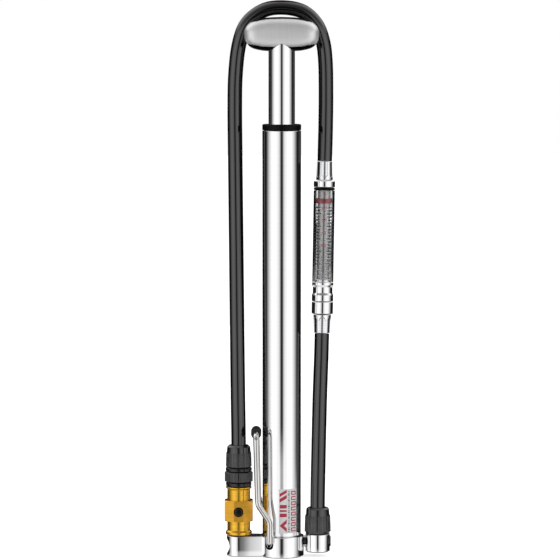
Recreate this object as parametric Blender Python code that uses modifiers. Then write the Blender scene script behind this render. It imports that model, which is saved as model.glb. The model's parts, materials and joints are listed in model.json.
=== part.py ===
"""Compact floor pump with a T-handle, a fold-out foot bail, an in-line gauge and a flip chuck.

The pump stands on its base with the handle raised a little and the hose looped over it, its chuck
pressed on the dock post. Metres, +Z up. The origin is on the barrel's axis at the base's underside,
and -Y is the front. Every sub-part is its own closed solid, and touching solids keep a small gap.
"""

import math

import bmesh
import bpy
from mathutils import Vector

# ---- Driving dimensions -------------------------------------------------------------------

GAP = 0.0003  # air between two solids that touch on the real pump
FINE = 32  # facets round a large turned piece
SMALL = 24  # facets round a small turned piece

# base
RING_R = 0.0127
BASE_H = 0.0119
ARM_END = -0.0315
ARM_HALF = 0.0068
WAIST_R = 0.118
WAIST_START = math.radians(3.0)
WAIST_END = math.radians(12.0)
BOSS_TOP = 0.0190
CHAMBER_R = 0.0032
CHAMBER_FLOOR = 0.0050
OUTLET_Z = 0.0083

# barrel, shaft and handle
BARREL_R = 0.0110
BARREL_WALL = 0.0010
BARREL_TOP = 0.2437
COLLAR_TOP = 0.2471
SKIRT_BOTTOM = 0.2360
SHAFT_R = 0.0075
SHAFT_WALL = 0.0012
SHAFT_BOTTOM = 0.0660
SHAFT_TOP = 0.3005
HANDLE_HALF_DEPTH = 0.0085
HANDLE_ROUND = 0.0044
PISTON_BOTTOM = 0.0610
PISTON_TOP = 0.0730

# foot bail
PIVOT_X = -0.0071
PIVOT_Z = 0.0070
PIVOT_HOLE_R = 0.0023
WIRE_R = 0.0017
LEG_Y = 0.0132
WIRE_END_Y = 0.0068
SLEEVE_R = 0.00295
SLEEVE_HALF = 0.0075
CROSSBAR_X = -0.0146
CROSSBAR_Z = 0.0709

# chuck and hose end, all on one upright axis
CHUCK_X = -0.0246
CHUCK_BOTTOM = 0.0123
CHUCK_TOP = 0.0398
HEX_HALF = 0.00805
HEX_LOW = 0.0211
HEX_HIGH = 0.0321
SPOT_FACE_Y = -0.0078
BUTTON_Z = 0.0259
BUTTON_R = 0.0023
BUTTON_HOLE_R = 0.0026

# hose and its fittings
HOSE_R = 0.0042
NUT_BORE_R = 0.0046
SOCKET_X = 0.0206
SOCKET_R = 0.0070
SOCKET_LOW = 0.0023
SOCKET_HIGH = 0.0125

# gauge: its axis leans a little to the right and to the back, and S is the distance along it
GAUGE_FOOT = Vector((0.0230, 0.0044, 0.1273))
GAUGE_LEAN = Vector((0.0165, 0.0540, 1.0))
GAUGE_R = 0.0058
TUBE_WALL = 0.0009
CORE_R = 0.0037
CORE_BORE_R = 0.0026
TUBE_LOW_S = 0.0295
TUBE_HIGH_S = 0.0817
INDICATOR_LOW_S = 0.0742
INDICATOR_HIGH_S = 0.0770
GAUGE_TOP_S = 0.0982

# centre line of the hose from the base's socket to the gauge, and from the gauge over the handle
LOWER_ROUTE = [
    (0.0206, 0.0000, 0.0160),
    (0.0206, 0.0001, 0.0330),
    (0.0211, 0.0009, 0.0600),
    (0.0218, 0.0024, 0.0900),
    (0.0226, 0.0036, 0.1130),
    (0.0230, 0.0044, 0.1273),
]
UPPER_ROUTE = [
    (0.0246, 0.0097, 0.2257),
    (0.0251, 0.0112, 0.2450),
    (0.0253, 0.0126, 0.2640),
    (0.0250, 0.0134, 0.2820),
    (0.0235, 0.0138, 0.2940),
    (0.0195, 0.0140, 0.3040),
    (0.0116, 0.0140, 0.3110),
    (0.0000, 0.0140, 0.3132),
    (-0.0107, 0.0140, 0.3113),
    (-0.0199, 0.0140, 0.3039),
    (-0.0244, 0.0137, 0.2920),
    (-0.0264, 0.0131, 0.2750),
    (-0.0268, 0.0122, 0.2560),
    (-0.0266, 0.0109, 0.2320),
    (-0.0262, 0.0088, 0.1950),
    (-0.0258, 0.0062, 0.1580),
    (-0.0254, 0.0034, 0.1220),
    (-0.0250, 0.0011, 0.0900),
    (-0.0247, 0.0001, 0.0700),
    (-0.0246, 0.0000, 0.0515),
]
HOSE_STEP = 0.0126  # distance between the hose's points, close enough for the loop's round top


# ---- Clean start and collections ------------------------------------------------------------

for old in list(bpy.data.objects):
    bpy.data.objects.remove(old, do_unlink=True)

pump = bpy.data.collections.new("floor_pump")
cutters = bpy.data.collections.new("cutters")
bpy.context.scene.collection.children.link(pump)
bpy.context.scene.collection.children.link(cutters)


# ---- Materials --------------------------------------------------------------------------------


def material(name, colour, metallic, roughness):
    """A Principled material of one colour."""
    mat = bpy.data.materials.new(name)
    mat.use_nodes = True
    shader = mat.node_tree.nodes["Principled BSDF"]
    shader.inputs["Base Color"].default_value = (*colour, 1.0)
    shader.inputs["Metallic"].default_value = metallic
    shader.inputs["Roughness"].default_value = roughness
    return mat


POLISHED = ("polished_alloy", (0.86, 0.86, 0.87), 1.0, 0.10)
SATIN = ("satin_alloy", (0.72, 0.72, 0.74), 1.0, 0.38)
STEEL = ("steel", (0.62, 0.61, 0.60), 1.0, 0.22)
DARK_STEEL = ("dark_steel", (0.10, 0.10, 0.11), 1.0, 0.35)
GOLD = ("gold_anodised", (0.86, 0.52, 0.06), 1.0, 0.22)
BLACK_PLASTIC = ("black_plastic", (0.02, 0.02, 0.02), 0.0, 0.40)
RUBBER = ("black_rubber", (0.03, 0.03, 0.03), 0.0, 0.55)
BRONZE = ("bronze", (0.55, 0.36, 0.16), 1.0, 0.40)
RED = ("red_plastic", (0.60, 0.02, 0.05), 0.0, 0.35)
CLEAR = ("clear_plastic", (0.85, 0.88, 0.88), 0.0, 0.05)


# ---- Shape helpers ----------------------------------------------------------------------------


def add(name, data, finish, location=(0.0, 0.0, 0.0), parent=None):
    """Links a new object to the pump, with its own material, under an empty where it moves."""
    obj = bpy.data.objects.new(name, data)
    obj.data.materials.clear()
    obj.data.materials.append(material(name + "_" + finish[0], *finish[1:]))
    obj.location = location
    obj.parent = parent
    pump.objects.link(obj)
    return obj


def empty(name, location, turn=None):
    """An empty that stands on a joint's axis or on the gauge's foot."""
    obj = bpy.data.objects.new(name, None)
    obj.empty_display_size = 0.01
    obj.location = location
    if turn is not None:
        obj.rotation_mode = "QUATERNION"
        obj.rotation_quaternion = turn
    pump.objects.link(obj)
    return obj


def smooth(mesh, degrees=35.0):
    """Smooth shading with the edges of the shape kept sharp."""
    mesh.shade_smooth()
    mesh.set_sharp_from_angle(angle=math.radians(degrees))


def profile_mesh(name, profile, closed):
    """The open or closed outline that a Screw modifier turns, as (radius, height) pairs."""
    points = [(radius, 0.0, height) for radius, height in profile]
    edges = [(i, i + 1) for i in range(len(points) - 1)]
    if closed:
        edges.append((len(points) - 1, 0))
    mesh = bpy.data.meshes.new(name)
    mesh.from_pydata(points, edges, [])
    return mesh


def spin(obj, facets):
    """Turns an outline about the object's own Z axis."""
    screw = obj.modifiers.new("turn", "SCREW")
    screw.angle = 2.0 * math.pi
    screw.steps = facets
    screw.render_steps = facets
    screw.use_merge_vertices = True
    screw.merge_threshold = 0.0001
    screw.use_smooth_shade = True


def turned(name, outside, finish, bore=None, at=(0.0, 0.0), facets=FINE, parent=None):
    """A turned piece. outside runs from top to bottom. bore, if any, runs from bottom to top."""
    if bore is None:
        profile = [(0.0, outside[0][1]), *outside, (0.0, outside[-1][1])]
    else:
        profile = [*outside, *bore]
    mesh = profile_mesh(name, profile, closed=bore is not None)
    obj = add(name, mesh, finish, (at[0], at[1], 0.0), parent)
    spin(obj, facets)
    return obj


def ring(name, inner, outer, low, high, finish, **where):
    """A plain turned ring or tube."""
    return turned(name, [(outer, high), (outer, low)], finish, [(inner, low), (inner, high)], **where)


def o_ring(name, inner, outer, height, finish, **where):
    """A round-section seal, as a closed circle of points turned about the axis."""
    middle = (inner + outer) / 2.0
    radius = (outer - inner) / 2.0
    angles = [math.pi / 2.0 - math.tau * step / 10 for step in range(10)]
    section = [(middle + radius * math.cos(a), height + radius * math.sin(a)) for a in angles]
    return turned(name, section, finish, [], **where)


def baked(obj):
    """Replaces an object by a plain mesh of its evaluated shape, with its caps welded."""
    graph = bpy.context.evaluated_depsgraph_get()
    mesh = bpy.data.meshes.new_from_object(obj.evaluated_get(graph))
    work = bmesh.new()
    work.from_mesh(mesh)
    bmesh.ops.remove_doubles(work, verts=work.verts, dist=0.00001)
    bmesh.ops.recalc_face_normals(work, faces=work.faces)
    work.to_mesh(mesh)
    work.free()
    return mesh


def as_mesh(obj):
    """Makes a curve object a mesh object of the same name and place."""
    mesh = baked(obj)
    name = obj.name
    matrix = obj.matrix_world.copy()
    home = obj.users_collection[0]
    bpy.data.objects.remove(obj, do_unlink=True)
    solid = bpy.data.objects.new(name, mesh)
    solid.matrix_world = matrix
    home.objects.link(solid)
    return solid


def round_bar(name, radius, start, end, facets=SMALL):
    """A cylinder between two points, used to cut or to join. It isn't a part of the pump."""
    start, end = Vector(start), Vector(end)
    work = bmesh.new()
    bmesh.ops.create_cone(
        work,
        cap_ends=True,
        segments=facets,
        radius1=radius,
        radius2=radius,
        depth=(end - start).length,
    )
    mesh = bpy.data.meshes.new(name)
    work.to_mesh(mesh)
    work.free()
    obj = bpy.data.objects.new(name, mesh)
    obj.location = (start + end) / 2.0
    obj.rotation_mode = "QUATERNION"
    obj.rotation_quaternion = (end - start).to_track_quat("Z", "Y")
    return hidden(obj)


def hidden(obj):
    """Puts a tool body among the cutters, out of the render."""
    obj.hide_render = True
    obj.display_type = "WIRE"
    cutters.objects.link(obj)
    return obj


def boolean(obj, tool, operation):
    """Cuts obj by tool, or joins tool to it."""
    change = obj.modifiers.new(operation.lower() + "_" + tool.name, "BOOLEAN")
    change.operation = operation
    change.solver = "EXACT"
    change.object = tool


def curve_object(name, points, radius, finish, parent=None, closed=False, resolution=2):
    """A round wire or hose along the points."""
    data = bpy.data.curves.new(name, "CURVE")
    data.dimensions = "3D"
    data.bevel_depth = radius
    data.bevel_resolution = resolution
    data.use_fill_caps = not closed
    spline = data.splines.new("POLY")
    spline.points.add(len(points) - 1)
    for point, place in zip(spline.points, points):
        point.co = (*place, 1.0)
    spline.use_cyclic_u = closed
    return add(name, data, finish, parent=parent)


def catmull(points, t):
    """A point on the smooth curve through the points, with t counted in points."""
    last = len(points) - 1
    i = min(int(t), last - 1)
    u = t - i
    p1, p2 = points[i], points[i + 1]
    p0 = points[i - 1] if i > 0 else p1 * 2.0 - p2
    p3 = points[i + 2] if i + 2 <= last else p2 * 2.0 - p1
    bend = (p0 * 2.0 - p1 * 5.0 + p2 * 4.0 - p3) * u * u
    twist = (p1 * 3.0 - p0 - p2 * 3.0 + p3) * u * u * u
    return (p1 * 2.0 + (p2 - p0) * u + bend + twist) * 0.5


def smooth_path(route, step):
    """Points at even distances along the smooth curve through the route."""
    points = [Vector(place) for place in route]
    dense = [catmull(points, i / 24.0) for i in range(24 * (len(points) - 1) + 1)]
    lengths = [0.0]
    for a, b in zip(dense, dense[1:]):
        lengths.append(lengths[-1] + (b - a).length)
    count = round(lengths[-1] / step)
    path = []
    j = 0
    for i in range(count + 1):
        wanted = lengths[-1] * i / count
        while j < len(lengths) - 2 and lengths[j + 1] < wanted:
            j += 1
        share = (wanted - lengths[j]) / (lengths[j + 1] - lengths[j])
        path.append(dense[j].lerp(dense[j + 1], share))
    return path


def helix(radius, low, high, turns, per_turn, centre=(0.0, 0.0)):
    """Points along a coil spring that stands on +Z."""
    count = round(turns * per_turn)
    points = []
    for i in range(count + 1):
        angle = math.tau * i / per_turn
        x = centre[0] + radius * math.cos(angle)
        y = centre[1] + radius * math.sin(angle)
        points.append((x, y, low + (high - low) * i / count))
    return points


# ---- Base -------------------------------------------------------------------------------------


def make_arm():
    """The dock arm's block: round at its end, under the chuck, and slimmer towards the ring."""
    end = Vector((ARM_END + ARM_HALF, 0.0))
    start = end + ARM_HALF * Vector((math.sin(WAIST_START), math.cos(WAIST_START)))
    waist = start - WAIST_R * Vector((math.sin(WAIST_START), math.cos(WAIST_START)))
    side = []
    for i in range(7):
        angle = WAIST_END + (WAIST_START - WAIST_END) * i / 6.0
        side.append(waist + WAIST_R * Vector((math.sin(angle), math.cos(angle))))
    for i in range(1, 19):
        angle = WAIST_START - (WAIST_START + math.pi / 2.0) * i / 18.0
        side.append(end + ARM_HALF * Vector((math.sin(angle), math.cos(angle))))
    outline = side + [Vector((p.x, -p.y)) for p in reversed(side[:-1])]
    data = bpy.data.curves.new("arm_outline", "CURVE")
    data.dimensions = "2D"
    data.fill_mode = "BOTH"
    data.extrude = (BASE_H - 0.0002) / 2.0
    spline = data.splines.new("POLY")
    spline.points.add(len(outline) - 1)
    for point, place in zip(spline.points, outline):
        point.co = (place.x, place.y, 0.0, 1.0)
    spline.use_cyclic_u = True
    flat = bpy.data.objects.new("arm_flat", data)
    flat.location = (0.0, 0.0, (BASE_H - 0.0002) / 2.0)
    pump.objects.link(flat)
    bpy.context.view_layer.update()
    matrix = flat.matrix_world.copy()
    mesh = baked(flat)
    mesh.transform(matrix)
    bpy.data.objects.remove(flat, do_unlink=True)
    return hidden(bpy.data.objects.new("arm_block", mesh))


def make_base():
    """Ring, dock arm and threaded boss in one turned and milled piece, with its drillings."""
    edge = 0.0008
    outside = [
        (BARREL_R - BARREL_WALL - GAP, BOSS_TOP),
        (BARREL_R - BARREL_WALL - GAP, BASE_H),
        (RING_R - edge, BASE_H),
        (RING_R, BASE_H - edge),
        (RING_R, edge),
        (RING_R - edge, 0.0),
    ]
    base = turned("base_casting", outside, POLISHED, facets=48)

    boolean(base, make_arm(), "UNION")

    # the end of the arm has a hollow groove across it
    groove_r = 0.0069
    groove_x = ARM_END + 0.0017 - groove_r
    low, high = (groove_x, -0.02, 0.0054), (groove_x, 0.02, 0.0054)
    boolean(base, round_bar("arm_groove", groove_r, low, high, 32), "DIFFERENCE")

    chamber = round_bar("chamber", CHAMBER_R, (0, 0, CHAMBER_FLOOR), (0, 0, BOSS_TOP + 0.001))
    boolean(base, chamber, "DIFFERENCE")
    outlet = round_bar("outlet", 0.0013, (0.001, 0, OUTLET_Z), (0.010, 0, OUTLET_Z), 16)
    boolean(base, outlet, "DIFFERENCE")
    thread = round_bar("bolt_thread", 0.0024, (0.0082, 0, OUTLET_Z), (0.016, 0, OUTLET_Z), 20)
    boolean(base, thread, "DIFFERENCE")
    for side in (-1, 1):
        inner = (PIVOT_X, side * (WIRE_END_Y - GAP), PIVOT_Z)
        outer = (PIVOT_X, side * 0.016, PIVOT_Z)
        hole = round_bar(f"pivot_hole_{side}", PIVOT_HOLE_R, inner, outer)
        boolean(base, hole, "DIFFERENCE")


def make_valve():
    """The check valve in the base: seat, ball and spring, reached from inside the barrel."""
    ring("valve_seat", 0.0011, CHAMBER_R - GAP, 0.0142, 0.0186, BRONZE, facets=SMALL)
    axis = empty("ball_axis", (0.0, 0.0, 0.0119))
    bpy.ops.mesh.primitive_uv_sphere_add(segments=16, ring_count=10, radius=0.0019)
    ball = bpy.context.object
    mesh = ball.data
    bpy.data.objects.remove(ball)
    smooth(mesh)
    add("check_ball", mesh, STEEL, parent=axis)
    points = helix(0.0021, CHAMBER_FLOOR + 0.0006, 0.0094, 4.0, 9)
    curve_object("check_spring", points, 0.0003, STEEL, resolution=1)


def make_dock():
    """The post that the chuck is pressed on while the hose is stored."""
    outside = [
        (0.0024, 0.0197),
        (0.0034, 0.0187),
        (0.0037, 0.0180),
        (0.0037, BASE_H + GAP),
    ]
    turned("dock_post", outside, STEEL, at=(CHUCK_X, 0.0), facets=SMALL)


# ---- Barrel, collar and plunger -----------------------------------------------------------------


def make_barrel():
    """The polished barrel and the sealing head at its mouth."""
    bore_r = BARREL_R - BARREL_WALL
    top = BARREL_TOP - GAP
    ring("barrel_tube", bore_r, BARREL_R, BASE_H + GAP, top, POLISHED, facets=40)
    skirt_r = bore_r - GAP
    rim_r = BARREL_R + 0.00005
    outside = [
        (rim_r - 0.0007, COLLAR_TOP),
        (rim_r, COLLAR_TOP - 0.0007),
        (rim_r, BARREL_TOP),
        (skirt_r, BARREL_TOP),
        (skirt_r, SKIRT_BOTTOM),
    ]
    bush_r = 0.0088
    inside = [
        (bush_r, SKIRT_BOTTOM),
        (bush_r, COLLAR_TOP - 0.0007),
        (SHAFT_R + GAP, COLLAR_TOP - 0.0007),
        (SHAFT_R + GAP, COLLAR_TOP),
    ]
    turned("seal_head", outside, BLACK_PLASTIC, inside, facets=40)
    bush = (SHAFT_R + GAP, bush_r - GAP, SKIRT_BOTTOM, 0.2440)
    ring("shaft_bush", *bush, BRONZE)
    o_ring("shaft_seal", SHAFT_R + GAP, bush_r - GAP, 0.2451, RUBBER)


def handle_outline():
    """Half of the handle's front outline, from the middle of its top round to its underside."""
    return [
        (0.0000, 0.3078),
        (0.0090, 0.3073),
        (0.0165, 0.3053),
        (0.0203, 0.3019),
        (0.0212, 0.2982),
        (0.0203, 0.2937),
        (0.0172, 0.2904),
        (0.0120, 0.2889),
        (0.0092, 0.2888),
        (0.0050, 0.2903),
        (0.0000, 0.2911),
    ]


def make_handle(axis):
    """The rounded T-handle, with a blind socket for the shaft."""
    right = [Vector((x, z, 0.0)) for x, z in handle_outline()]
    left = [Vector((-p.x, p.y, 0.0)) for p in reversed(right[1:-1])]
    loop = right + left + [right[0]]
    outline = [catmull(loop, i / 2.0) for i in range(2 * (len(loop) - 1))]
    data = bpy.data.curves.new("handle", "CURVE")
    data.dimensions = "2D"
    data.fill_mode = "BOTH"
    data.extrude = HANDLE_HALF_DEPTH - HANDLE_ROUND
    data.bevel_depth = HANDLE_ROUND
    data.bevel_resolution = 2
    data.offset = -HANDLE_ROUND
    spline = data.splines.new("POLY")
    spline.points.add(len(outline) - 1)
    for point, place in zip(spline.points, outline):
        point.co = (place.x, place.y, 0.0, 1.0)
    spline.use_cyclic_u = True
    flat = bpy.data.objects.new("handle_flat", data)
    flat.rotation_euler = (math.pi / 2.0, 0.0, 0.0)
    pump.objects.link(flat)
    bpy.context.view_layer.update()
    matrix = flat.matrix_world.copy()
    mesh = baked(flat)
    mesh.transform(matrix)
    bpy.data.objects.remove(flat, do_unlink=True)
    smooth(mesh)
    handle = add("handle", mesh, SATIN, parent=axis)
    low, high = (0.0, 0.0, 0.2850), (0.0, 0.0, SHAFT_TOP + GAP)
    boolean(handle, round_bar("shaft_socket", SHAFT_R + GAP, low, high, FINE), "DIFFERENCE")


def make_plunger():
    """Shaft, handle and piston, which slide together along the barrel."""
    axis = empty("plunger_axis", (0.0, 0.0, 0.0))
    bore_r = SHAFT_R - SHAFT_WALL
    ring("plunger_shaft", bore_r, SHAFT_R, SHAFT_BOTTOM, SHAFT_TOP, POLISHED, parent=axis)
    make_handle(axis)
    plug = [(bore_r - GAP, SHAFT_TOP - GAP), (bore_r - GAP, 0.2860)]
    turned("handle_stud", plug, STEEL, parent=axis, facets=SMALL)

    # piston: a spigot inside the shaft, a shoulder under it and a groove for the seal
    head_r = 0.0096
    groove_r = 0.0080
    outside = [
        (bore_r - GAP, PISTON_TOP),
        (bore_r - GAP, SHAFT_BOTTOM - GAP),
        (head_r, SHAFT_BOTTOM - GAP),
        (head_r, 0.0646),
        (groove_r, 0.0646),
        (groove_r, 0.0624),
        (head_r, 0.0624),
        (head_r, PISTON_BOTTOM),
    ]
    bore = [(0.0024, PISTON_BOTTOM), (0.0024, PISTON_TOP)]
    turned("piston_head", outside, BLACK_PLASTIC, bore, parent=axis)
    o_ring("piston_seal", groove_r + 0.0002, 0.0098, 0.0635, RUBBER, parent=axis)
    screw = [(0.0021, PISTON_TOP - 0.001), (0.0021, PISTON_BOTTOM - GAP), (0.0040, PISTON_BOTTOM - GAP)]
    screw.append((0.0040, PISTON_BOTTOM - 0.0007))
    turned("piston_screw", screw, STEEL, parent=axis, facets=SMALL)


# ---- Foot bail ------------------------------------------------------------------------------------


def arc_corner(a, corner, b, radius, steps=4):
    """Points of a round bend at a corner between a and b."""
    towards_a = (a - corner).normalized()
    towards_b = (b - corner).normalized()
    half = towards_a.angle(towards_b) / 2.0
    reach = radius / math.tan(half)
    start = corner + towards_a * reach
    end = corner + towards_b * reach
    centre = corner + (towards_a + towards_b).normalized() * (radius / math.sin(half))
    points = []
    for i in range(steps + 1):
        ray = (start - centre).lerp(end - centre, i / steps)
        points.append(centre + ray.normalized() * radius)
    return points


def make_bail():
    """A bent wire that swings down beside the arm and steadies the pump under a foot."""
    axis = empty("bail_pivot", (PIVOT_X, 0.0, PIVOT_Z))
    pivot = Vector((PIVOT_X, 0.0, PIVOT_Z))
    front = [
        Vector((PIVOT_X, -WIRE_END_Y, PIVOT_Z)),
        Vector((PIVOT_X, -LEG_Y, PIVOT_Z)),
        Vector((-0.0069, -LEG_Y, 0.0210)),
        Vector((-0.0135, -LEG_Y, 0.0310)),
        Vector((CROSSBAR_X, -LEG_Y, CROSSBAR_Z)),
    ]
    corners = front + [Vector((p.x, -p.y, p.z)) for p in reversed(front)]
    bends = [0.0024, 0.0060, 0.0070, 0.0040]
    bends = bends + bends[::-1]
    points = [corners[0]]
    for i in range(1, len(corners) - 1):
        points += arc_corner(corners[i - 1], corners[i], corners[i + 1], bends[i - 1])
    points.append(corners[-1])
    curve_object("bail_wire", [p - pivot for p in points], WIRE_R, STEEL, parent=axis)

    sleeve = ring("bail_sleeve", WIRE_R + GAP, SLEEVE_R, -SLEEVE_HALF, SLEEVE_HALF, RUBBER, parent=axis)
    sleeve.location = (CROSSBAR_X - PIVOT_X, 0.0, CROSSBAR_Z - PIVOT_Z)
    sleeve.rotation_euler = (math.pi / 2.0, 0.0, 0.0)


# ---- Chuck and hose end -----------------------------------------------------------------------------


def make_chuck():
    """The gold chuck that unscrews from the hose end, with its gasket and its bleed button."""
    axis = empty("chuck_axis", (CHUCK_X, 0.0, 0.0))
    neck_r, rim_r = 0.00655, 0.0075
    outside = [
        (0.00735, CHUCK_TOP),
        (0.00735, 0.0390),
        (neck_r, 0.0385),
        (neck_r, 0.0146),
        (rim_r, 0.0140),
        (rim_r, CHUCK_BOTTOM),
    ]
    bore = [
        (0.0043, CHUCK_BOTTOM),
        (0.0043, 0.0215),
        (0.0026, 0.0215),
        (0.0026, 0.0330),
        (0.0043, 0.0330),
        (0.0043, CHUCK_TOP),
    ]
    chuck = turned("chuck_body", outside, GOLD, bore, parent=axis)

    # hexagon band with one corner to the front, bored as the body is
    work = bmesh.new()
    corner_r = HEX_HALF / math.cos(math.pi / 6.0)
    height = HEX_HIGH - HEX_LOW
    bmesh.ops.create_cone(
        work, cap_ends=True, segments=6, radius1=corner_r, radius2=corner_r, depth=height
    )
    band_mesh = bpy.data.meshes.new("hex_band")
    work.to_mesh(band_mesh)
    work.free()
    band = hidden(bpy.data.objects.new("hex_band", band_mesh))
    band.location = (CHUCK_X, 0.0, (HEX_LOW + HEX_HIGH) / 2.0)
    through = round_bar("hex_bore", 0.0050, (CHUCK_X, 0, 0.01), (CHUCK_X, 0, 0.05))
    boolean(band, through, "DIFFERENCE")
    boolean(chuck, band, "UNION")
    bpy.ops.mesh.primitive_cube_add(size=0.02, location=(CHUCK_X, SPOT_FACE_Y - 0.01, BUTTON_Z))
    spot_face = bpy.context.object
    spot_face.name = "spot_face"
    bpy.context.collection.objects.unlink(spot_face)
    boolean(chuck, hidden(spot_face), "DIFFERENCE")
    start, end = (CHUCK_X, -0.0120, BUTTON_Z), (CHUCK_X, -0.0010, BUTTON_Z)
    boolean(chuck, round_bar("button_hole", BUTTON_HOLE_R, start, end), "DIFFERENCE")

    gasket = {"parent": axis, "facets": SMALL}
    ring("chuck_gasket", 0.0018, 0.0040, 0.0200, 0.0212, RUBBER, **gasket)

    button_axis = empty("button_axis", (CHUCK_X, 0.0, BUTTON_Z))
    rod = [(BUTTON_R, 0.0086), (BUTTON_R, 0.0040), (0.0012, 0.0040), (0.0012, 0.0026)]
    button = turned("bleed_button", rod, BLACK_PLASTIC, parent=button_axis, facets=20)
    button.rotation_euler = (math.pi / 2.0, 0.0, 0.0)
    spring_points = helix(0.0018, 0.0010, 0.0036, 2.5, 10)
    spring = curve_object("bleed_spring", spring_points, 0.00022, STEEL, axis, resolution=1)
    spring.location = (0.0, 0.0, BUTTON_Z)
    spring.rotation_euler = (math.pi / 2.0, 0.0, 0.0)


def make_hose_end():
    """The black fitting that ends the hose: spigot, knurled ring, collar and cone nut."""
    at = (CHUCK_X, 0.0)
    sleeve_r = 0.0050
    outside = [
        (sleeve_r, 0.0508),
        (sleeve_r, 0.0424),
        (0.0073, 0.0424),
        (0.0073, CHUCK_TOP + GAP),
        (0.0040, CHUCK_TOP + GAP),
        (0.0040, 0.0340),
    ]
    bore = [(0.0016, 0.0340), (0.0016, 0.0508)]
    turned("hose_end_fitting", outside, BLACK_PLASTIC, bore, at=at)
    ring("knurled_ring", sleeve_r + GAP, 0.00805, 0.0427, 0.0484, BLACK_PLASTIC, at=at)
    ring("fitting_collar", sleeve_r + GAP, 0.0075, 0.0487, 0.0508, BLACK_PLASTIC, at=at)
    cone = [(0.0056, 0.0637), (0.0066, 0.0627), (0.0075, 0.0545), (0.0075, 0.0511)]
    bore = [(NUT_BORE_R, 0.0511), (NUT_BORE_R, 0.0637)]
    turned("upper_hose_nut", cone, BLACK_PLASTIC, bore, at=at)


def make_socket():
    """The banjo socket at the right of the base, its bolt and washer, and the hose nut on it."""
    at = (SOCKET_X, 0.0)
    edge = 0.0006
    outside = [
        (SOCKET_R, SOCKET_HIGH),
        (SOCKET_R, SOCKET_LOW + edge),
        (SOCKET_R - edge, SOCKET_LOW),
    ]
    socket = turned("hose_socket", outside, POLISHED, at=at)
    face_x = 0.0140
    flat = round_bar("socket_flat", 0.0038, (0.010, 0, OUTLET_Z), (face_x, 0, OUTLET_Z))
    boolean(socket, flat, "DIFFERENCE")
    bolt_hole = round_bar("bolt_hole", 0.0024, (0.012, 0, OUTLET_Z), (0.030, 0, OUTLET_Z), 20)
    boolean(socket, bolt_hole, "DIFFERENCE")
    counterbore = round_bar("head_seat", 0.0034, (0.0262, 0, OUTLET_Z), (0.030, 0, OUTLET_Z))
    boolean(socket, counterbore, "DIFFERENCE")

    start = 0.0085
    bolt = [(0.0031, 0.0281), (0.0031, 0.0265), (0.0021, 0.0265), (0.0021, start)]
    screw = turned("banjo_bolt", bolt, DARK_STEEL, facets=20)
    screw.location = (0.0, 0.0, OUTLET_Z)
    screw.rotation_euler = (0.0, math.pi / 2.0, 0.0)
    washer = ring("banjo_washer", 0.0024, 0.0034, 0.0130, 0.0137, RUBBER, facets=20)
    washer.location = (0.0, 0.0, OUTLET_Z)
    washer.rotation_euler = (0.0, math.pi / 2.0, 0.0)

    cone = [(0.0057, 0.0277), (0.0065, 0.0269), (0.00755, 0.0145), (0.0070, SOCKET_HIGH + GAP)]
    bore = [(NUT_BORE_R, SOCKET_HIGH + GAP), (NUT_BORE_R, 0.0277)]
    turned("lower_hose_nut", cone, BLACK_PLASTIC, bore, at=at)


def make_gauge():
    """The clear in-line gauge between the two hoses, built upright and then leaned."""
    foot = empty("gauge_axis", GAUGE_FOOT, GAUGE_LEAN.to_track_quat("Z", "Y"))
    on = {"parent": foot, "facets": SMALL}
    tube_r = GAUGE_R - TUBE_WALL

    lower = [(0.0047, 0.0108), (0.0047, 0.0100), (0.0043, GAP)]
    turned("lower_ferrule", lower, POLISHED, **on)
    turned("gauge_sleeve", [(0.0060, 0.0181), (0.0060, 0.0118), (0.0056, 0.0111)], POLISHED, **on)
    cap = [
        (0.0045, 0.0312),
        (0.0045, TUBE_LOW_S - GAP),
        (0.0059, TUBE_LOW_S - GAP),
        (0.0059, 0.0278),
        (0.0053, 0.0265),
        (0.0053, 0.0232),
        (0.0059, 0.0219),
        (0.0059, 0.0184),
    ]
    turned("gauge_bottom_cap", cap, POLISHED, **on)
    ring("gauge_tube", tube_r, GAUGE_R, TUBE_LOW_S, TUBE_HIGH_S, CLEAR, **on)
    ring("gauge_core", CORE_BORE_R, CORE_R, 0.0315, 0.0812, SATIN, **on)
    wire_points = helix(0.0043, 0.0320, INDICATOR_LOW_S - 0.0008, 12.0, 10)
    curve_object("gauge_spring", wire_points, 0.00025, STEEL, foot, resolution=1)
    ring("gauge_indicator", CORE_R + 0.0002, 0.0047, INDICATOR_LOW_S, INDICATOR_HIGH_S, RED, **on)
    o_ring("gauge_seal", 0.0047, GAUGE_R, TUBE_HIGH_S + 0.0009, RUBBER, **on)
    top = [(0.0052, 0.0871), (0.0059, 0.0864), (0.0059, 0.0836), (0.0043, 0.0836), (0.0043, 0.0815)]
    turned("gauge_top_cap", top, POLISHED, **on)
    upper = [(0.0041, GAUGE_TOP_S), (0.0046, 0.0885), (0.0040, 0.0874)]
    turned("upper_ferrule", upper, POLISHED, **on)


def make_hose():
    """The hose: base to gauge, and gauge over the handle to the chuck."""
    lower = smooth_path(LOWER_ROUTE, HOSE_STEP)
    curve_object("lower_hose", lower, HOSE_R, RUBBER)
    upper = smooth_path(UPPER_ROUTE, HOSE_STEP)
    curve_object("upper_hose", upper, HOSE_R, RUBBER)


make_base()
make_valve()
make_dock()
make_barrel()
make_plunger()
make_bail()
make_chuck()
make_hose_end()
make_socket()
make_gauge()
make_hose()
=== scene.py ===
# %% [markdown]
# A compact floor pump, finished for the camera
#
# The pump stands upright with its T-handle raised a little. Its hose loops over the handle and ends in
# a gold chuck that is parked on the base. The solids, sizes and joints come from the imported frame.
# This file gives every visible piece a finer shape and a real finish, one small cell at a time.
# Metres are used all through, +Z is up and the front of the pump faces -Y.

# %% Load the frame and keep its box
import json
import math

import bmesh
import bpy
from mathutils import Matrix, Vector


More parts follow.
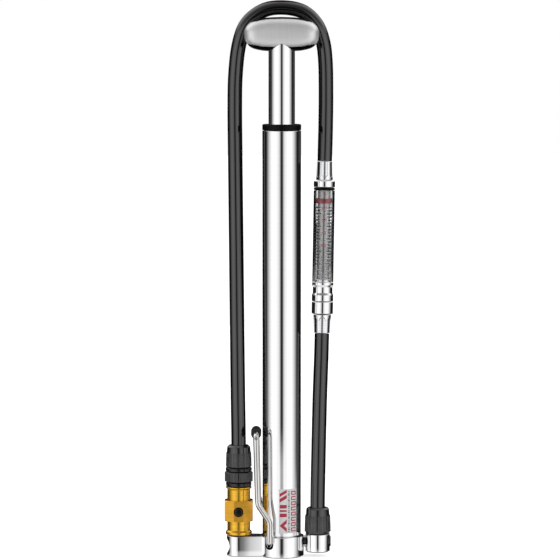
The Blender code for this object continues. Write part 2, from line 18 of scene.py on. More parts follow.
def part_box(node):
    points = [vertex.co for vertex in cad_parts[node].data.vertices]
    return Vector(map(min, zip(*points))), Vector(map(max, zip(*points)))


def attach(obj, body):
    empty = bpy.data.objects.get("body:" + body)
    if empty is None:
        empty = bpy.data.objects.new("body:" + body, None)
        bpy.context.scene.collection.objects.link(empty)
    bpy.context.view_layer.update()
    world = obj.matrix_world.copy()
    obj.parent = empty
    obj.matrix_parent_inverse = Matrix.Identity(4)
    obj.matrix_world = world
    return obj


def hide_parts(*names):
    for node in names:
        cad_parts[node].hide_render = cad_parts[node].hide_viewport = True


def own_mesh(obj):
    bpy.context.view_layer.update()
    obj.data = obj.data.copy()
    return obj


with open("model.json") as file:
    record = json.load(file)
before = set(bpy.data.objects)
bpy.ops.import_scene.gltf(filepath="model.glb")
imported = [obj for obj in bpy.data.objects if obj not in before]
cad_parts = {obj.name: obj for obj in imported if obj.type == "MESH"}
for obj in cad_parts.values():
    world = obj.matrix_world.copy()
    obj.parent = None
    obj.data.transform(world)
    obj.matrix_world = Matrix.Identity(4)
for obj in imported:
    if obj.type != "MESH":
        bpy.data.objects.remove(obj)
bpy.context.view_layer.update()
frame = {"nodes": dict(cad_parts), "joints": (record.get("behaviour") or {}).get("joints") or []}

MM = 0.001
TAU = math.tau

# %% [markdown]
# Where things are
#
# A box is known for every node, so the sizes that the looks depend on are read from the frame and not
# typed again. A turned part gives its radius and its two end heights, and a joint gives its axis.

# %% Read sizes from the frame
joints = {joint["name"]: joint for joint in frame["joints"]}


def span(node):
    """Low and high z of a node."""
    low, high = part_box(node)
    return low.z, high.z


def radius_of(node):
    """Half of a node's width along X."""
    low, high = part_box(node)
    return (high.x - low.x) / 2.0


def middle(node):
    """The middle of a node's box."""
    low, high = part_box(node)
    return (low + high) / 2.0


barrel_r = radius_of("barrel_tube")
barrel_low, barrel_high = span("barrel_tube")
ring_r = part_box("base_casting")[1].y
ring_top = barrel_low - 0.3 * MM
arm_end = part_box("base_casting")[0].x
shaft_r = radius_of("plunger_shaft")
chuck_x = middle("chuck_body").x
socket_x = middle("hose_socket").x
bail_pivot = Vector(joints["foot_bail_hinge"]["pos_m"])
gauge_up = -Vector(joints["indicator_slide"]["axis"]).normalized()
print(f"barrel radius {barrel_r / MM:.1f} mm, ring radius {ring_r / MM:.1f} mm")

# %% [markdown]
# Camera
#
# A long lens far away keeps the barrel's sides parallel. The eye is as high as the handle, so the base
# is seen a little from above while the loop of hose is seen straight on. The shift stays at zero: the
# camera is only tilted.

# %% Make the camera
VIEW_WIDTH = 0.3192
EYE = Vector((-0.00097, -1.85, 0.300))
AIM = Vector((-0.00097, 0.0, 0.1583))

camera_data = bpy.data.cameras.new("camera")
camera_data.sensor_width = 36.0
camera_data.lens = camera_data.sensor_width * (EYE - AIM).length / VIEW_WIDTH
camera = bpy.data.objects.new("camera", camera_data)
camera.location = EYE
camera.rotation_mode = "QUATERNION"
camera.rotation_quaternion = (AIM - EYE).to_track_quat("-Z", "Y")
bpy.context.scene.collection.objects.link(camera)
bpy.context.scene.camera = camera
print(f"lens {camera_data.lens:.0f} mm")

# %% [markdown]
# Studio light
#
# Polished metal shows nothing but the room round it. The room here is two tall soft boxes left and right
# of the camera, a narrow dark gap between them, and black cloth further round. On a bright tube this
# gives a thin dark line down the middle, white bands beside it and black edges. The room is a ramp over
# the compass direction, so it needs no panels that another view could bump into. Steep directions see a
# pale ceiling or table instead. Low directions behind the pump see the ramp mirrored, so that its back
# isn't black from above. Rays that come straight from the camera see plain white.


# %% Node helpers
def node(tree, kind, links=None, **settings):
    """A node with its settings, and its inputs set to values or linked to sockets."""
    made = tree.nodes.new(kind)
    for label, value in settings.items():
        setattr(made, label, value)
    for label, value in (links or {}).items():
        if isinstance(value, bpy.types.NodeSocket):
            tree.links.new(value, made.inputs[label])
        else:
            made.inputs[label].default_value = value
    return made


def math_of(tree, operation, *values):
    """The output of a Math node."""
    return node(tree, "ShaderNodeMath", dict(enumerate(values)), operation=operation).outputs[0]


def vector_of(tree, x, y, z):
    """The output of a Combine XYZ node."""
    return node(tree, "ShaderNodeCombineXYZ", {"X": x, "Y": y, "Z": z}).outputs[0]


def blend_of(tree, share, first, second):
    """The colour between two colours, by a share."""
    mix = node(tree, "ShaderNodeMix", {"Factor": share, "A": first, "B": second}, data_type="RGBA")
    return mix.outputs["Result"]


# %% Build the room as a world shader
ROOM = [  # degrees away from the camera's side, brightness
    (0, 0.012),
    (4, 0.035),
    (8, 0.25),
    (12, 0.66),
    (19, 0.92),
    (27, 1.04),
    (36, 1.16),
    (46, 1.32),
    (56, 1.20),
    (66, 1.06),
    (76, 0.80),
    (86, 0.48),
    (96, 0.16),
    (105, 0.012),
    (155, 0.008),
    (168, 0.40),
    (180, 0.55),
]
ROOM_PEAK = 1.4

world = bpy.data.worlds.new("studio")
bpy.context.scene.world = world
world.use_nodes = True
wt = world.node_tree
wt.nodes.clear()


def soft_step(value, low, high, out_low=0.0, out_high=1.0):
    """A smooth ramp of a value between two numbers."""
    limits = {"From Min": low, "From Max": high, "To Min": out_low, "To Max": out_high}
    step = node(wt, "ShaderNodeMapRange", {"Value": value, **limits}, interpolation_type="SMOOTHSTEP")
    return step.outputs["Result"]


def room_ramp(turn):
    """The room's brightness for a compass direction from 0 to 1."""
    ramp = node(wt, "ShaderNodeValToRGB", {"Fac": turn})
    stops = ramp.color_ramp.elements
    while len(stops) > 1:
        stops.remove(stops[0])
    for index, (degrees, level) in enumerate(ROOM):
        stop = stops[0] if index == 0 else stops.new(degrees / 180.0)
        stop.position = degrees / 180.0
        share = level / ROOM_PEAK
        stop.color = (share, share, share, 1.0)
    return ramp.outputs["Color"]


direction = node(wt, "ShaderNodeTexCoord").outputs["Generated"]
heading = node(wt, "ShaderNodeSeparateXYZ", {0: direction}).outputs
slope = heading["Z"]
facing = math_of(wt, "MULTIPLY", heading["Y"], -1.0)
side = math_of(wt, "ABSOLUTE", heading["X"])
angle = math_of(wt, "DIVIDE", math_of(wt, "ARCTAN2", side, facing), math.pi)

downward = math_of(wt, "SUBTRACT", -0.10, slope)
steep = soft_step(math_of(wt, "MAXIMUM", slope, downward), 0.20, 0.48)
ceiling = soft_step(facing, -0.35, 0.80, 1.40, 0.22)
table = soft_step(facing, 0.05, 0.60, 0.02, 0.86)
up = soft_step(slope, -0.05, 0.05)
from_table = math_of(wt, "MULTIPLY", table, math_of(wt, "SUBTRACT", 1.0, up))
steep_level = math_of(wt, "DIVIDE", math_of(wt, "MULTIPLY_ADD", ceiling, up, from_table), ROOM_PEAK)

low_back = soft_step(slope, -0.29, -0.22, 0.75, 0.0)
back_room = room_ramp(math_of(wt, "SUBTRACT", 1.0, angle))
room_level = math_of(wt, "MULTIPLY_ADD", back_room, low_back, room_ramp(angle))

far_back = math_of(wt, "MULTIPLY", soft_step(angle, 0.80, 0.88), soft_step(slope, -0.17, -0.12))
cloth = math_of(wt, "MULTIPLY_ADD", far_back, -0.96, 1.0)
shade = math_of(wt, "MULTIPLY", cloth, soft_step(slope, -0.90, -0.66, 0.10, 1.0))
room_colour = blend_of(wt, shade, (0.0, 0.0, 0.0, 1.0), blend_of(wt, steep, room_level, steep_level))

room_light = node(wt, "ShaderNodeBackground", {"Color": room_colour, "Strength": ROOM_PEAK})
paper = node(wt, "ShaderNodeBackground", {"Color": (1.0, 1.0, 1.0, 1.0), "Strength": 1.0})
from_camera = node(wt, "ShaderNodeLightPath").outputs["Is Camera Ray"]
choose = node(wt, "ShaderNodeMixShader", {0: from_camera, 1: room_light.outputs[0], 2: paper.outputs[0]})
node(wt, "ShaderNodeOutputWorld", {"Surface": choose.outputs[0]})
bpy.context.scene.view_settings.view_transform = "Standard"
print("room ramp:", len(ROOM), "stops")

# %% [markdown]
# Lamps and floor
#
# The room gives reflections. Three large lamps give form to rubber and plastic and a soft shadow. They
# are kept out of reflections, so that they don't add stripes to the metal. The floor is pale and plain.

# %% Add lamps and the floor
LAMPS = [  # name, place, size, power in watts
    ("key_left", (-0.9, -1.0, 0.9), 0.8, 2.5),
    ("key_right", (1.0, -0.8, 0.8), 0.8, 2.0),
    ("back_fill", (0.2, 1.3, 0.5), 0.9, 2.0),
]
for name, place, size, power in LAMPS:
    lamp_data = bpy.data.lights.new(name, "AREA")
    lamp_data.size = size
    lamp_data.energy = power
    lamp = bpy.data.objects.new(name, lamp_data)
    lamp.location = place
    lamp.rotation_mode = "QUATERNION"
    lamp.rotation_quaternion = (Vector((0, 0, 0.15)) - Vector(place)).to_track_quat("-Z", "Y")
    lamp.visible_glossy = False
    lamp.visible_camera = False
    bpy.context.scene.collection.objects.link(lamp)

floor_mesh = bpy.data.meshes.new("floor")
work = bmesh.new()
bmesh.ops.create_circle(work, cap_ends=True, segments=96, radius=6.0)
work.to_mesh(floor_mesh)
work.free()
floor = bpy.data.objects.new("floor", floor_mesh)
floor.location.z = -0.0002
floor.visible_glossy = False
bpy.context.scene.collection.objects.link(floor)
floor_paint = bpy.data.materials.new("floor_paint")
floor_paint.use_nodes = True
floor_shader = floor_paint.node_tree.nodes["Principled BSDF"]
floor_shader.inputs["Base Color"].default_value = (0.86, 0.86, 0.86, 1.0)
floor_shader.inputs["Roughness"].default_value = 0.8
floor_shader.inputs["Emission Color"].default_value = (1.0, 1.0, 1.0, 1.0)
floor_shader.inputs["Emission Strength"].default_value = 0.62
floor_mesh.materials.append(floor_paint)
print("lamps:", len(LAMPS))

# %% [markdown]
# Shader groups
#
# Three effects come back in many finishes, so each is one node group with named inputs: the fine rings
# that a lathe leaves, the uneven sheen of a handled surface, and the fine grain of a moulded or
# extruded surface. They only put out masks and normals. The shader stays in the material.


# %% Build the shader groups
def new_group(name, inputs, outputs):
    """A shader node group with float inputs and the named outputs."""
    group = bpy.data.node_groups.new(name, "ShaderNodeTree")
    for label, value in inputs.items():
        socket = group.interface.new_socket(label, in_out="INPUT", socket_type="NodeSocketFloat")
        socket.default_value = value
    for label, kind in outputs.items():
        group.interface.new_socket(label, in_out="OUTPUT", socket_type=kind)
    start = group.nodes.new("NodeGroupInput")
    end = group.nodes.new("NodeGroupOutput")
    return group, start, end


def stretched_noise(tree, scale, stretch, detail, source="Object"):
    """Noise on stretched coordinates, with scale a number or a socket."""
    coordinates = node(tree, "ShaderNodeTexCoord").outputs[source]
    mapping = node(tree, "ShaderNodeMapping", {"Vector": coordinates, "Scale": stretch})
    noise = node(tree, "ShaderNodeTexNoise", {
        "Vector": mapping.outputs["Vector"], "Scale": scale, "Detail": detail})
    return noise.outputs["Fac"]


def bump(tree, height, strength, distance):
    """A Bump node's normal."""
    bumped = node(tree, "ShaderNodeBump", {"Height": height, "Strength": strength, "Distance": distance})
    return bumped.outputs["Normal"]


FLOAT, VECTOR = "NodeSocketFloat", "NodeSocketVector"

lathe_rings, start, end = new_group(
    "lathe_rings", {"Scale": 1200.0, "Strength": 0.2}, {"Mask": FLOAT, "Normal": VECTOR}
)
rings = stretched_noise(lathe_rings, start.outputs["Scale"], (0.02, 0.02, 1.0), 3.0)
lathe_rings.links.new(rings, end.inputs["Mask"])
lathe_rings.links.new(bump(lathe_rings, rings, start.outputs["Strength"], 0.00002), end.inputs["Normal"])

sheen, start, end = new_group("handled_sheen", {"Scale": 60.0, "Amount": 0.5}, {"Mask": FLOAT})
cloud = stretched_noise(sheen, start.outputs["Scale"], (1.0, 1.0, 1.0), 5.0)
scratch = stretched_noise(sheen, 900.0, (1.0, 0.6, 0.05), 2.0)
both = math_of(sheen, "MULTIPLY", cloud, scratch)
centred = math_of(sheen, "SUBTRACT", both, 0.25)
scaled = math_of(sheen, "MULTIPLY", centred, start.outputs["Amount"])
sheen.links.new(math_of(sheen, "ADD", scaled, 0.5), end.inputs["Mask"])

grain, start, end = new_group(
    "moulded_grain", {"Scale": 3000.0, "Strength": 0.3}, {"Mask": FLOAT, "Normal": VECTOR}
)
speckle = stretched_noise(grain, start.outputs["Scale"], (1.0, 1.0, 1.0), 2.0)
grain.links.new(speckle, end.inputs["Mask"])
grain.links.new(bump(grain, speckle, start.outputs["Strength"], 0.00004), end.inputs["Normal"])
print("shader groups:", [g.name for g in bpy.data.node_groups])

# %% [markdown]
# Finishes
#
# Each finish is one material. A helper makes the Principled shader with its fixed numbers on its own
# sockets and places a group. A second helper lets a mask move a colour or a roughness between two values,
# which is what keeps a surface from looking like flat paint.


# %% Helpers for finishes
def finish(name, colour, metallic, roughness, **fixed):
    """A material, its tree and its shader, with constant values on the shader's sockets."""
    mat = bpy.data.materials.new(name)
    mat.use_nodes = True
    shader = mat.node_tree.nodes["Principled BSDF"]
    shader.inputs["Base Color"].default_value = (*colour, 1.0)
    shader.inputs["Metallic"].default_value = metallic
    shader.inputs["Roughness"].default_value = roughness
    for label, value in fixed.items():
        shader.inputs[label.replace("_", " ")].default_value = value
    return mat, mat.node_tree, shader


def placed(tree, group, **values):
    """A group node with its own values."""
    return node(tree, "ShaderNodeGroup", values, node_tree=group)


MASK_LOW, MASK_HIGH = 0.3, 0.7


def vary(tree, mask, target, low, high):
    """Lets a mask move a float or colour input between two values."""
    limits = {"Value": mask, "From Min": MASK_LOW, "From Max": MASK_HIGH}
    if isinstance(low, tuple):
        share = node(tree, "ShaderNodeMapRange", limits).outputs["Result"]
        tree.links.new(blend_of(tree, share, (*low, 1.0), (*high, 1.0)), target)
        return
    moved_value = node(tree, "ShaderNodeMapRange", {**limits, "To Min": low, "To Max": high})
    tree.links.new(moved_value.outputs["Result"], target)


# %% [markdown]
# Metals
#
# The barrel, shaft, base and gauge ends are turned alloy, polished until the lathe's rings hardly show.
# The handle is the same alloy, blasted to a satin skin. The bail is drawn stainless wire, and the chuck
# is anodised gold over turned metal, so its colour deepens a little in the rings.


# %% Make the metals
def turned_metal(name, colour, deep, low, high, ring_scale, ring_strength, **fixed):
    """Metal from the lathe: faint rings in its colour and normal, and an uneven gloss."""
    mat, tree, shader = finish(name, colour, 1.0, low, **fixed)
    ring_node = placed(tree, lathe_rings, Scale=ring_scale, Strength=ring_strength)
    vary(tree, ring_node.outputs["Mask"], shader.inputs["Base Color"], deep, colour)
    tree.links.new(ring_node.outputs["Normal"], shader.inputs["Normal"])
    gloss = placed(tree, sheen, Scale=70.0, Amount=0.9)
    vary(tree, gloss.outputs["Mask"], shader.inputs["Roughness"], low, high)
    return mat


polished = turned_metal("polished_alloy", (0.90, 0.90, 0.91), (0.87, 0.87, 0.88), 0.03, 0.065, 900.0, 0.008)
milled = turned_metal("milled_alloy", (0.86, 0.86, 0.87), (0.76, 0.76, 0.78), 0.09, 0.19, 1400.0, 0.12)
gold = turned_metal("gold_anodised", (0.82, 0.48, 0.050), (0.72, 0.38, 0.030), 0.17, 0.25, 1300.0, 0.05,
                    Metallic=0.88)
gold_flat = turned_metal("gold_milled", (0.80, 0.42, 0.050), (0.69, 0.35, 0.034), 0.34, 0.44, 1300.0, 0.10,
                         Metallic=0.88)
dark_steel = turned_metal("dark_steel", (0.10, 0.10, 0.11), (0.06, 0.06, 0.07), 0.30, 0.45, 1500.0, 0.3)
bronze = turned_metal("sintered_bronze", (0.55, 0.36, 0.16), (0.42, 0.26, 0.10), 0.35, 0.50, 1500.0, 0.4)
core_metal = turned_metal("bright_core", (0.58, 0.58, 0.59), (0.46, 0.46, 0.47), 0.24, 0.32, 1600.0, 0.10,
                          Metallic=0.45)
# A near-black finish for the walls inside holes: painted shade for the dark deep in a hole.
painted_bore_shade = turned_metal("bore_painted_shade", (0.03, 0.03, 0.03), (0.015, 0.015, 0.015), 0.45, 0.6, 1500.0, 0.3)

satin, tree, shader = finish("satin_alloy", (0.80, 0.80, 0.81), 0.90, 0.46)
blast = placed(tree, grain, Scale=5200.0, Strength=0.22)
tree.links.new(blast.outputs["Normal"], shader.inputs["Normal"])
gloss = placed(tree, sheen, Scale=45.0, Amount=1.2)
vary(tree, gloss.outputs["Mask"], shader.inputs["Roughness"], 0.44, 0.54)
vary(tree, gloss.outputs["Mask"], shader.inputs["Base Color"], (0.76, 0.76, 0.77), (0.84, 0.84, 0.85))

drawn, tree, shader = finish("drawn_stainless", (0.70, 0.69, 0.68), 1.0, 0.08)
lines = stretched_noise(tree, 2600.0, (1.0, 1.0, 0.03), 2.0)
tree.links.new(bump(tree, lines, 0.12, 0.00003), shader.inputs["Normal"])
vary(tree, lines, shader.inputs["Roughness"], 0.05, 0.12)
vary(tree, lines, shader.inputs["Base Color"], (0.56, 0.55, 0.54), (0.78, 0.77, 0.75))
print("metals ready")

# %% [markdown]
# Rubber, plastic and print
#
# The hose is extruded: its fine lines run along it, so they follow the hose's own UV map and not space.
# The nuts are moulded plastic with a half gloss and paler, rubbed spots. The clear tube is thick plastic
# that bends light a little, with painted shade that darkens its rims, and the print on it is flat ink.

# %% Make rubber, plastic and print
hose_skin, tree, shader = finish("hose_rubber", (0.002, 0.002, 0.002), 0.0, 0.12,
                                 Specular_IOR_Level=0.5, IOR=1.82)
along = stretched_noise(tree, 1.0, (90.0, 6.0, 1.0), 3.0, "UV")
fine = placed(tree, grain, Scale=4200.0, Strength=0.10)
tree.links.new(fine.outputs["Normal"], shader.inputs["Normal"])
vary(tree, along, shader.inputs["Roughness"], 0.08, 0.14)
vary(tree, along, shader.inputs["Base Color"], (0.001, 0.001, 0.001), (0.003, 0.0027, 0.0027))


def moulded(name, colour, worn, low, high, scale, strength, **fixed):
    """Moulded plastic or rubber: fine grain, and rubbed spots that are paler and duller."""
    mat, tree, shader = finish(name, colour, 0.0, low, **fixed)
    skin = placed(tree, grain, Scale=scale, Strength=strength)
    tree.links.new(skin.outputs["Normal"], shader.inputs["Normal"])
    rub = placed(tree, sheen, Scale=120.0, Amount=1.3)
    vary(tree, rub.outputs["Mask"], shader.inputs["Base Color"], colour, worn)
    vary(tree, rub.outputs["Mask"], shader.inputs["Roughness"], low, high)
    return mat


black = moulded("black_plastic", (0.004, 0.004, 0.004), (0.011, 0.011, 0.011), 0.16, 0.26, 3600.0, 0.12,
                Specular_IOR_Level=1.0)
gloss_black = moulded("gloss_black", (0.004, 0.004, 0.004), (0.008, 0.008, 0.008), 0.10, 0.18, 3000.0, 0.04)
seal_black = moulded("seal_black", (0.001, 0.001, 0.001), (0.002, 0.002, 0.002), 0.30, 0.40, 3000.0, 0.10,
                     Specular_IOR_Level=0.10)
matt_rubber = moulded("matt_rubber", (0.007, 0.007, 0.007), (0.014, 0.014, 0.014), 0.40, 0.55, 3000.0, 0.30)
red = moulded("red_plastic", (0.42, 0.008, 0.025), (0.55, 0.020, 0.045), 0.22, 0.32, 3000.0, 0.08)
red_ink = moulded("red_ink", (0.30, 0.006, 0.024), (0.38, 0.014, 0.040), 0.35, 0.50, 4000.0, 0.05)
dark_ink = moulded("dark_ink", (0.020, 0.020, 0.022), (0.045, 0.045, 0.050), 0.35, 0.50, 4000.0, 0.05)
foil = moulded("label_foil", (0.52, 0.51, 0.52), (0.58, 0.57, 0.58), 0.25, 0.40, 2500.0, 0.10)

# The tube's colour darkens as its wall turns away from the eye: painted shade along the rims.
CLEAR_RIM_SHADE = [  # how far the wall turns away, how much light it lets through
    (0.00, 0.90),
    (0.22, 0.82),
    (0.38, 0.66),
    (0.50, 0.30),
    (0.62, 0.08),
]
clear, tree, shader = finish("clear_plastic", (0.80, 0.81, 0.82), 0.0, 0.05,
                             Transmission_Weight=1.0, IOR=1.40)
rim_shade = node(tree, "ShaderNodeValToRGB", {"Fac": node(tree, "ShaderNodeLayerWeight").outputs["Facing"]})
for index, (away, passes) in enumerate(CLEAR_RIM_SHADE):
    stop = rim_shade.color_ramp.elements[0] if index == 0 else rim_shade.color_ramp.elements.new(away)
    stop.position = away
    stop.color = (passes, passes, passes, 1.0)
rim_shade.color_ramp.elements[-1].color = (0.05, 0.05, 0.05, 1.0)
tree.links.new(rim_shade.outputs["Color"], shader.inputs["Base Color"])
haze = placed(tree, sheen, Scale=160.0, Amount=0.8)
vary(tree, haze.outputs["Mask"], shader.inputs["Roughness"], 0.03, 0.10)
print("materials:", len(bpy.data.materials))

# %% [markdown]
# Shape helpers
#
# Most of the pump came off a lathe, so the main helper turns an outline about an axis. Outlines are
# written as a few corners, and another helper rounds each corner with a true arc, because a sharp edge
# never catches light. A flute function can pull the radius in as the outline turns, which is how ribs
# and grooves are pressed into a nut. A third helper sweeps a round section along a path for hose and wire.


# %% Outline and lathe
def rounded(corners, radii, steps=5):
    """The outline with its inner corners replaced by arcs. radii is one number or one per corner."""
    points = [Vector((r, z)) for r, z in corners]
    if isinstance(radii, (int, float)):
        radii = [radii] * len(points)
    out = [points[0]]
    for i in range(1, len(points) - 1):
        a, b, c = points[i - 1], points[i], points[i + 1]
        to_a, to_c = (a - b), (c - b)
        half = to_a.angle(to_c) / 2.0
        if radii[i] <= 0.0 or half < 0.02 or half > math.pi / 2.0 - 0.02:
            out.append(b)
            continue
        reach = min(radii[i] / math.tan(half), 0.48 * to_a.length, 0.48 * to_c.length)
        size = reach * math.tan(half)
        first, last = b + to_a.normalized() * reach, b + to_c.normalized() * reach
        centre = b + (to_a.normalized() + to_c.normalized()).normalized() * (size / math.sin(half))
        for k in range(steps + 1):
            ray = (first - centre).lerp(last - centre, k / steps)
            out.append(centre + ray.normalized() * size)
    out.append(points[-1])
    return [(p.x, p.y) for p in out]


def mesh_from(name, verts, faces, sharp=35.0):
    """A mesh with merged doubles, outward faces and smooth shading with sharp creases."""
    mesh = bpy.data.meshes.new(name)
    mesh.from_pydata(verts, [], faces)
    work = bmesh.new()
    work.from_mesh(mesh)
    bmesh.ops.remove_doubles(work, verts=work.verts, dist=1e-7)
    bmesh.ops.dissolve_degenerate(work, edges=work.edges, dist=1e-8)
    work.to_mesh(mesh)
    work.free()
    mesh.shade_smooth()
    mesh.set_sharp_from_angle(angle=math.radians(sharp))
    return mesh


def lathe(name, outline, steps=128, ring=False, flute=None, sharp=35.0):
    """Turns (radius, height) pairs about Z. The outline runs down the outside, as on the lathe.

    ring joins its last point to its first. flute(radius, height, angle) gives the radius to use."""
    rows = len(outline)
    verts = []
    for r, z in outline:
        for j in range(steps):
            angle = TAU * j / steps
            size = flute(r, z, angle) if flute else r
            verts.append((size * math.cos(angle), size * math.sin(angle), z))
    faces = []
    for i in range(rows if ring else rows - 1):
        for j in range(steps):
            a, d = i * steps + j, i * steps + (j + 1) % steps
            b, c = ((i + 1) % rows) * steps + j, ((i + 1) % rows) * steps + (j + 1) % steps
            faces.append((a, b, c, d))
    return mesh_from(name, verts, faces, sharp)


def tube(bore, outside, low, high):
    """The closed outline of a plain tube."""
    return [(bore, high), (outside, high), (outside, low), (bore, low), (bore, high)]


def upright(x):
    """The place of a part that stands on an upright axis."""
    return Matrix.Translation((x, 0.0, 0.0))


# %% Sweeps and finishing a piece
def catmull(points, t):
    """A point on the smooth curve through the points, with t counted in points."""
    last = len(points) - 1
    i = min(int(t), last - 1)
    u = t - i
    p1, p2 = points[i], points[i + 1]
    p0 = points[i - 1] if i > 0 else p1 * 2.0 - p2
    p3 = points[i + 2] if i + 2 <= last else p2 * 2.0 - p1
    bend = (p0 * 2.0 - p1 * 5.0 + p2 * 4.0 - p3) * u * u
    twist = (p1 * 3.0 - p0 - p2 * 3.0 + p3) * u * u * u
    return (p1 * 2.0 + (p2 - p0) * u + bend + twist) * 0.5


def smooth_path(route, per_point=12):
    """Many points on the smooth curve through the route."""
    points = [Vector(p) for p in route]
    return [catmull(points, i / per_point) for i in range(per_point * (len(points) - 1) + 1)]


def sweep(name, path, radius, sides=32):
    """A round bar along a path, with flat ends and a UV map whose V runs along it.

    radius is a number, or a function of the share of the way along."""
    verts, faces, loops = [], [], []
    tangent = (path[1] - path[0]).normalized()
    across = tangent.orthogonal().normalized()
    length = 0.0
    for i, point in enumerate(path):
        before, after = path[max(i - 1, 0)], path[min(i + 1, len(path) - 1)]
        tangent = (after - before).normalized()
        across = (across - tangent * across.dot(tangent)).normalized()
        other = tangent.cross(across)
        length += (point - before).length
        size = radius(i / (len(path) - 1)) if callable(radius) else radius
        for j in range(sides):
            angle = TAU * j / sides
            verts.append(point + (across * math.cos(angle) + other * math.sin(angle)) * size)
        loops.append(length)
    for i in range(len(path) - 1):
        for j in range(sides):
            k = (j + 1) % sides
            faces.append((i * sides + j, i * sides + k, (i + 1) * sides + k, (i + 1) * sides + j))
    faces.append(tuple(reversed(range(sides))))
    faces.append(tuple(range((len(path) - 1) * sides, len(path) * sides)))
    mesh = bpy.data.meshes.new(name)
    mesh.from_pydata(verts, [], faces)
    uv = mesh.uv_layers.new(name="UVMap")
    for face in mesh.polygons:
        seam = {mesh.loops[n].vertex_index % sides for n in face.loop_indices} == {0, sides - 1}
        for n in face.loop_indices:
            row, column = divmod(mesh.loops[n].vertex_index, sides)
            column = sides if seam and column == 0 else column
            uv.data[n].uv = (column / sides, loops[row] / 0.1)
    mesh.shade_smooth()
    mesh.set_sharp_from_angle(angle=math.radians(50.0))
    return mesh


def piece(name, mesh, material, body, slot, *nodes, place=None):
    """Puts a mesh in the scene at its place, on a body, in place of the named nodes."""
    if place is not None:
        mesh.transform(place)
    mesh.materials.clear()
    mesh.materials.append(material)
    obj = bpy.data.objects.new(name, mesh)
    bpy.context.scene.collection.objects.link(obj)
    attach(obj, body)
    if nodes:
        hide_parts(*nodes)
    return obj


def evaluated_mesh(obj):
    """A plain mesh of an object with its modifiers applied."""
    return bpy.data.meshes.new_from_object(obj.evaluated_get(bpy.context.evaluated_depsgraph_get()))


def shaped(mesh, *changes):
    """The mesh after Boolean changes, each an operation and a tool mesh."""
    obj = bpy.data.objects.new("shaping", mesh)
    bpy.context.scene.collection.objects.link(obj)
    tools = []
    for operation, tool_mesh in changes:
        tool = bpy.data.objects.new("tool", tool_mesh)
        bpy.context.scene.collection.objects.link(tool)
        tool.hide_render = True
        tools.append(tool)
        change = obj.modifiers.new(operation, "BOOLEAN")
        change.operation = operation
        change.solver = "EXACT"
        change.object = tool
    result = evaluated_mesh(obj)
    for extra in [obj, *tools]:
        bpy.data.objects.remove(extra)
    result.shade_smooth()
    result.set_sharp_from_angle(angle=math.radians(30.0))
    return result


def moved(mesh, matrix):
    """The mesh after a move."""
    mesh.transform(matrix)
    return mesh


def peg(radius, start, end, steps=64):
    """A plain round bar between two points, for cutting holes."""
    start, end = Vector(start), Vector(end)
    length = (end - start).length
    mesh = lathe("peg", [(0, length), (radius, length), (radius, 0), (0, 0)], steps)
    turn = (end - start).to_track_quat("Z", "Y").to_matrix().to_4x4()
    return moved(mesh, Matrix.Translation(start) @ turn)


# %% [markdown]
# Hose
#
# The hose is one fixed length of thick black rubber, cut in two by the gauge. It leaves the base's nut
# straight up, leans back so that the handle can pass in front of it, turns over the handle in one stiff
# bend and comes down to the chuck. The route is a short list of given points, the same list as
# in the frame's source. It comes first because its room decides where everything else may be.

# %% Make the two hoses
HOSE_R = 4.2 * MM
LOWER_ROUTE = [
    (0.0206, 0.0000, 0.0160),
    (0.0206, 0.0001, 0.0330),
    (0.0211, 0.0009, 0.0600),
    (0.0218, 0.0024, 0.0900),
    (0.0226, 0.0036, 0.1130),
    (0.0230, 0.0044, 0.1273),
]
UPPER_ROUTE = [
    (0.0246, 0.0097, 0.2257),
    (0.0251, 0.0112, 0.2450),
    (0.0253, 0.0126, 0.2640),
    (0.0250, 0.0134, 0.2820),
    (0.0235, 0.0138, 0.2940),
    (0.0195, 0.0140, 0.3040),
    (0.0116, 0.0140, 0.3110),
    (0.0000, 0.0140, 0.3132),
    (-0.0107, 0.0140, 0.3113),
    (-0.0199, 0.0140, 0.3039),
    (-0.0244, 0.0137, 0.2920),
    (-0.0264, 0.0131, 0.2750),
    (-0.0268, 0.0122, 0.2560),
    (-0.0266, 0.0109, 0.2320),
    (-0.0262, 0.0088, 0.1950),
    (-0.0258, 0.0062, 0.1580),
    (-0.0254, 0.0034, 0.1220),
    (-0.0250, 0.0011, 0.0900),
    (-0.0247, 0.0001, 0.0700),
    (-0.0246, 0.0000, 0.0515),
]


def path_length(path):
    """How long a path is."""
    return sum((b - a).length for a, b in zip(path, path[1:]))


lower_path = smooth_path(LOWER_ROUTE)
upper_path = smooth_path(UPPER_ROUTE, 16)
lower_hose = piece(
    "hose_to_gauge", sweep("hose_to_gauge", lower_path, HOSE_R), hose_skin,
    "pump_base", "hose_rubber", "lower_hose",
)
upper_hose = piece(
    "hose_to_chuck", sweep("hose_to_chuck", upper_path, HOSE_R), hose_skin,
    "pump_base", "hose_rubber", "upper_hose",
)
print(f"hose lengths: {path_length(lower_path):.3f} m and {path_length(upper_path):.3f} m")

# %% [markdown]
# Base
#
# On the real pump the base is one forging: a ring round the barrel, an arm that the chuck is parked on,
# and drillings for the air and for the bail. Here the ring is turned, the arm is an extruded outline with
# rounded edges, and both are joined and drilled with exact Booleans. The edges are rounded before the
# join, because a Bevel after a Boolean would have to find its way round many small faces.


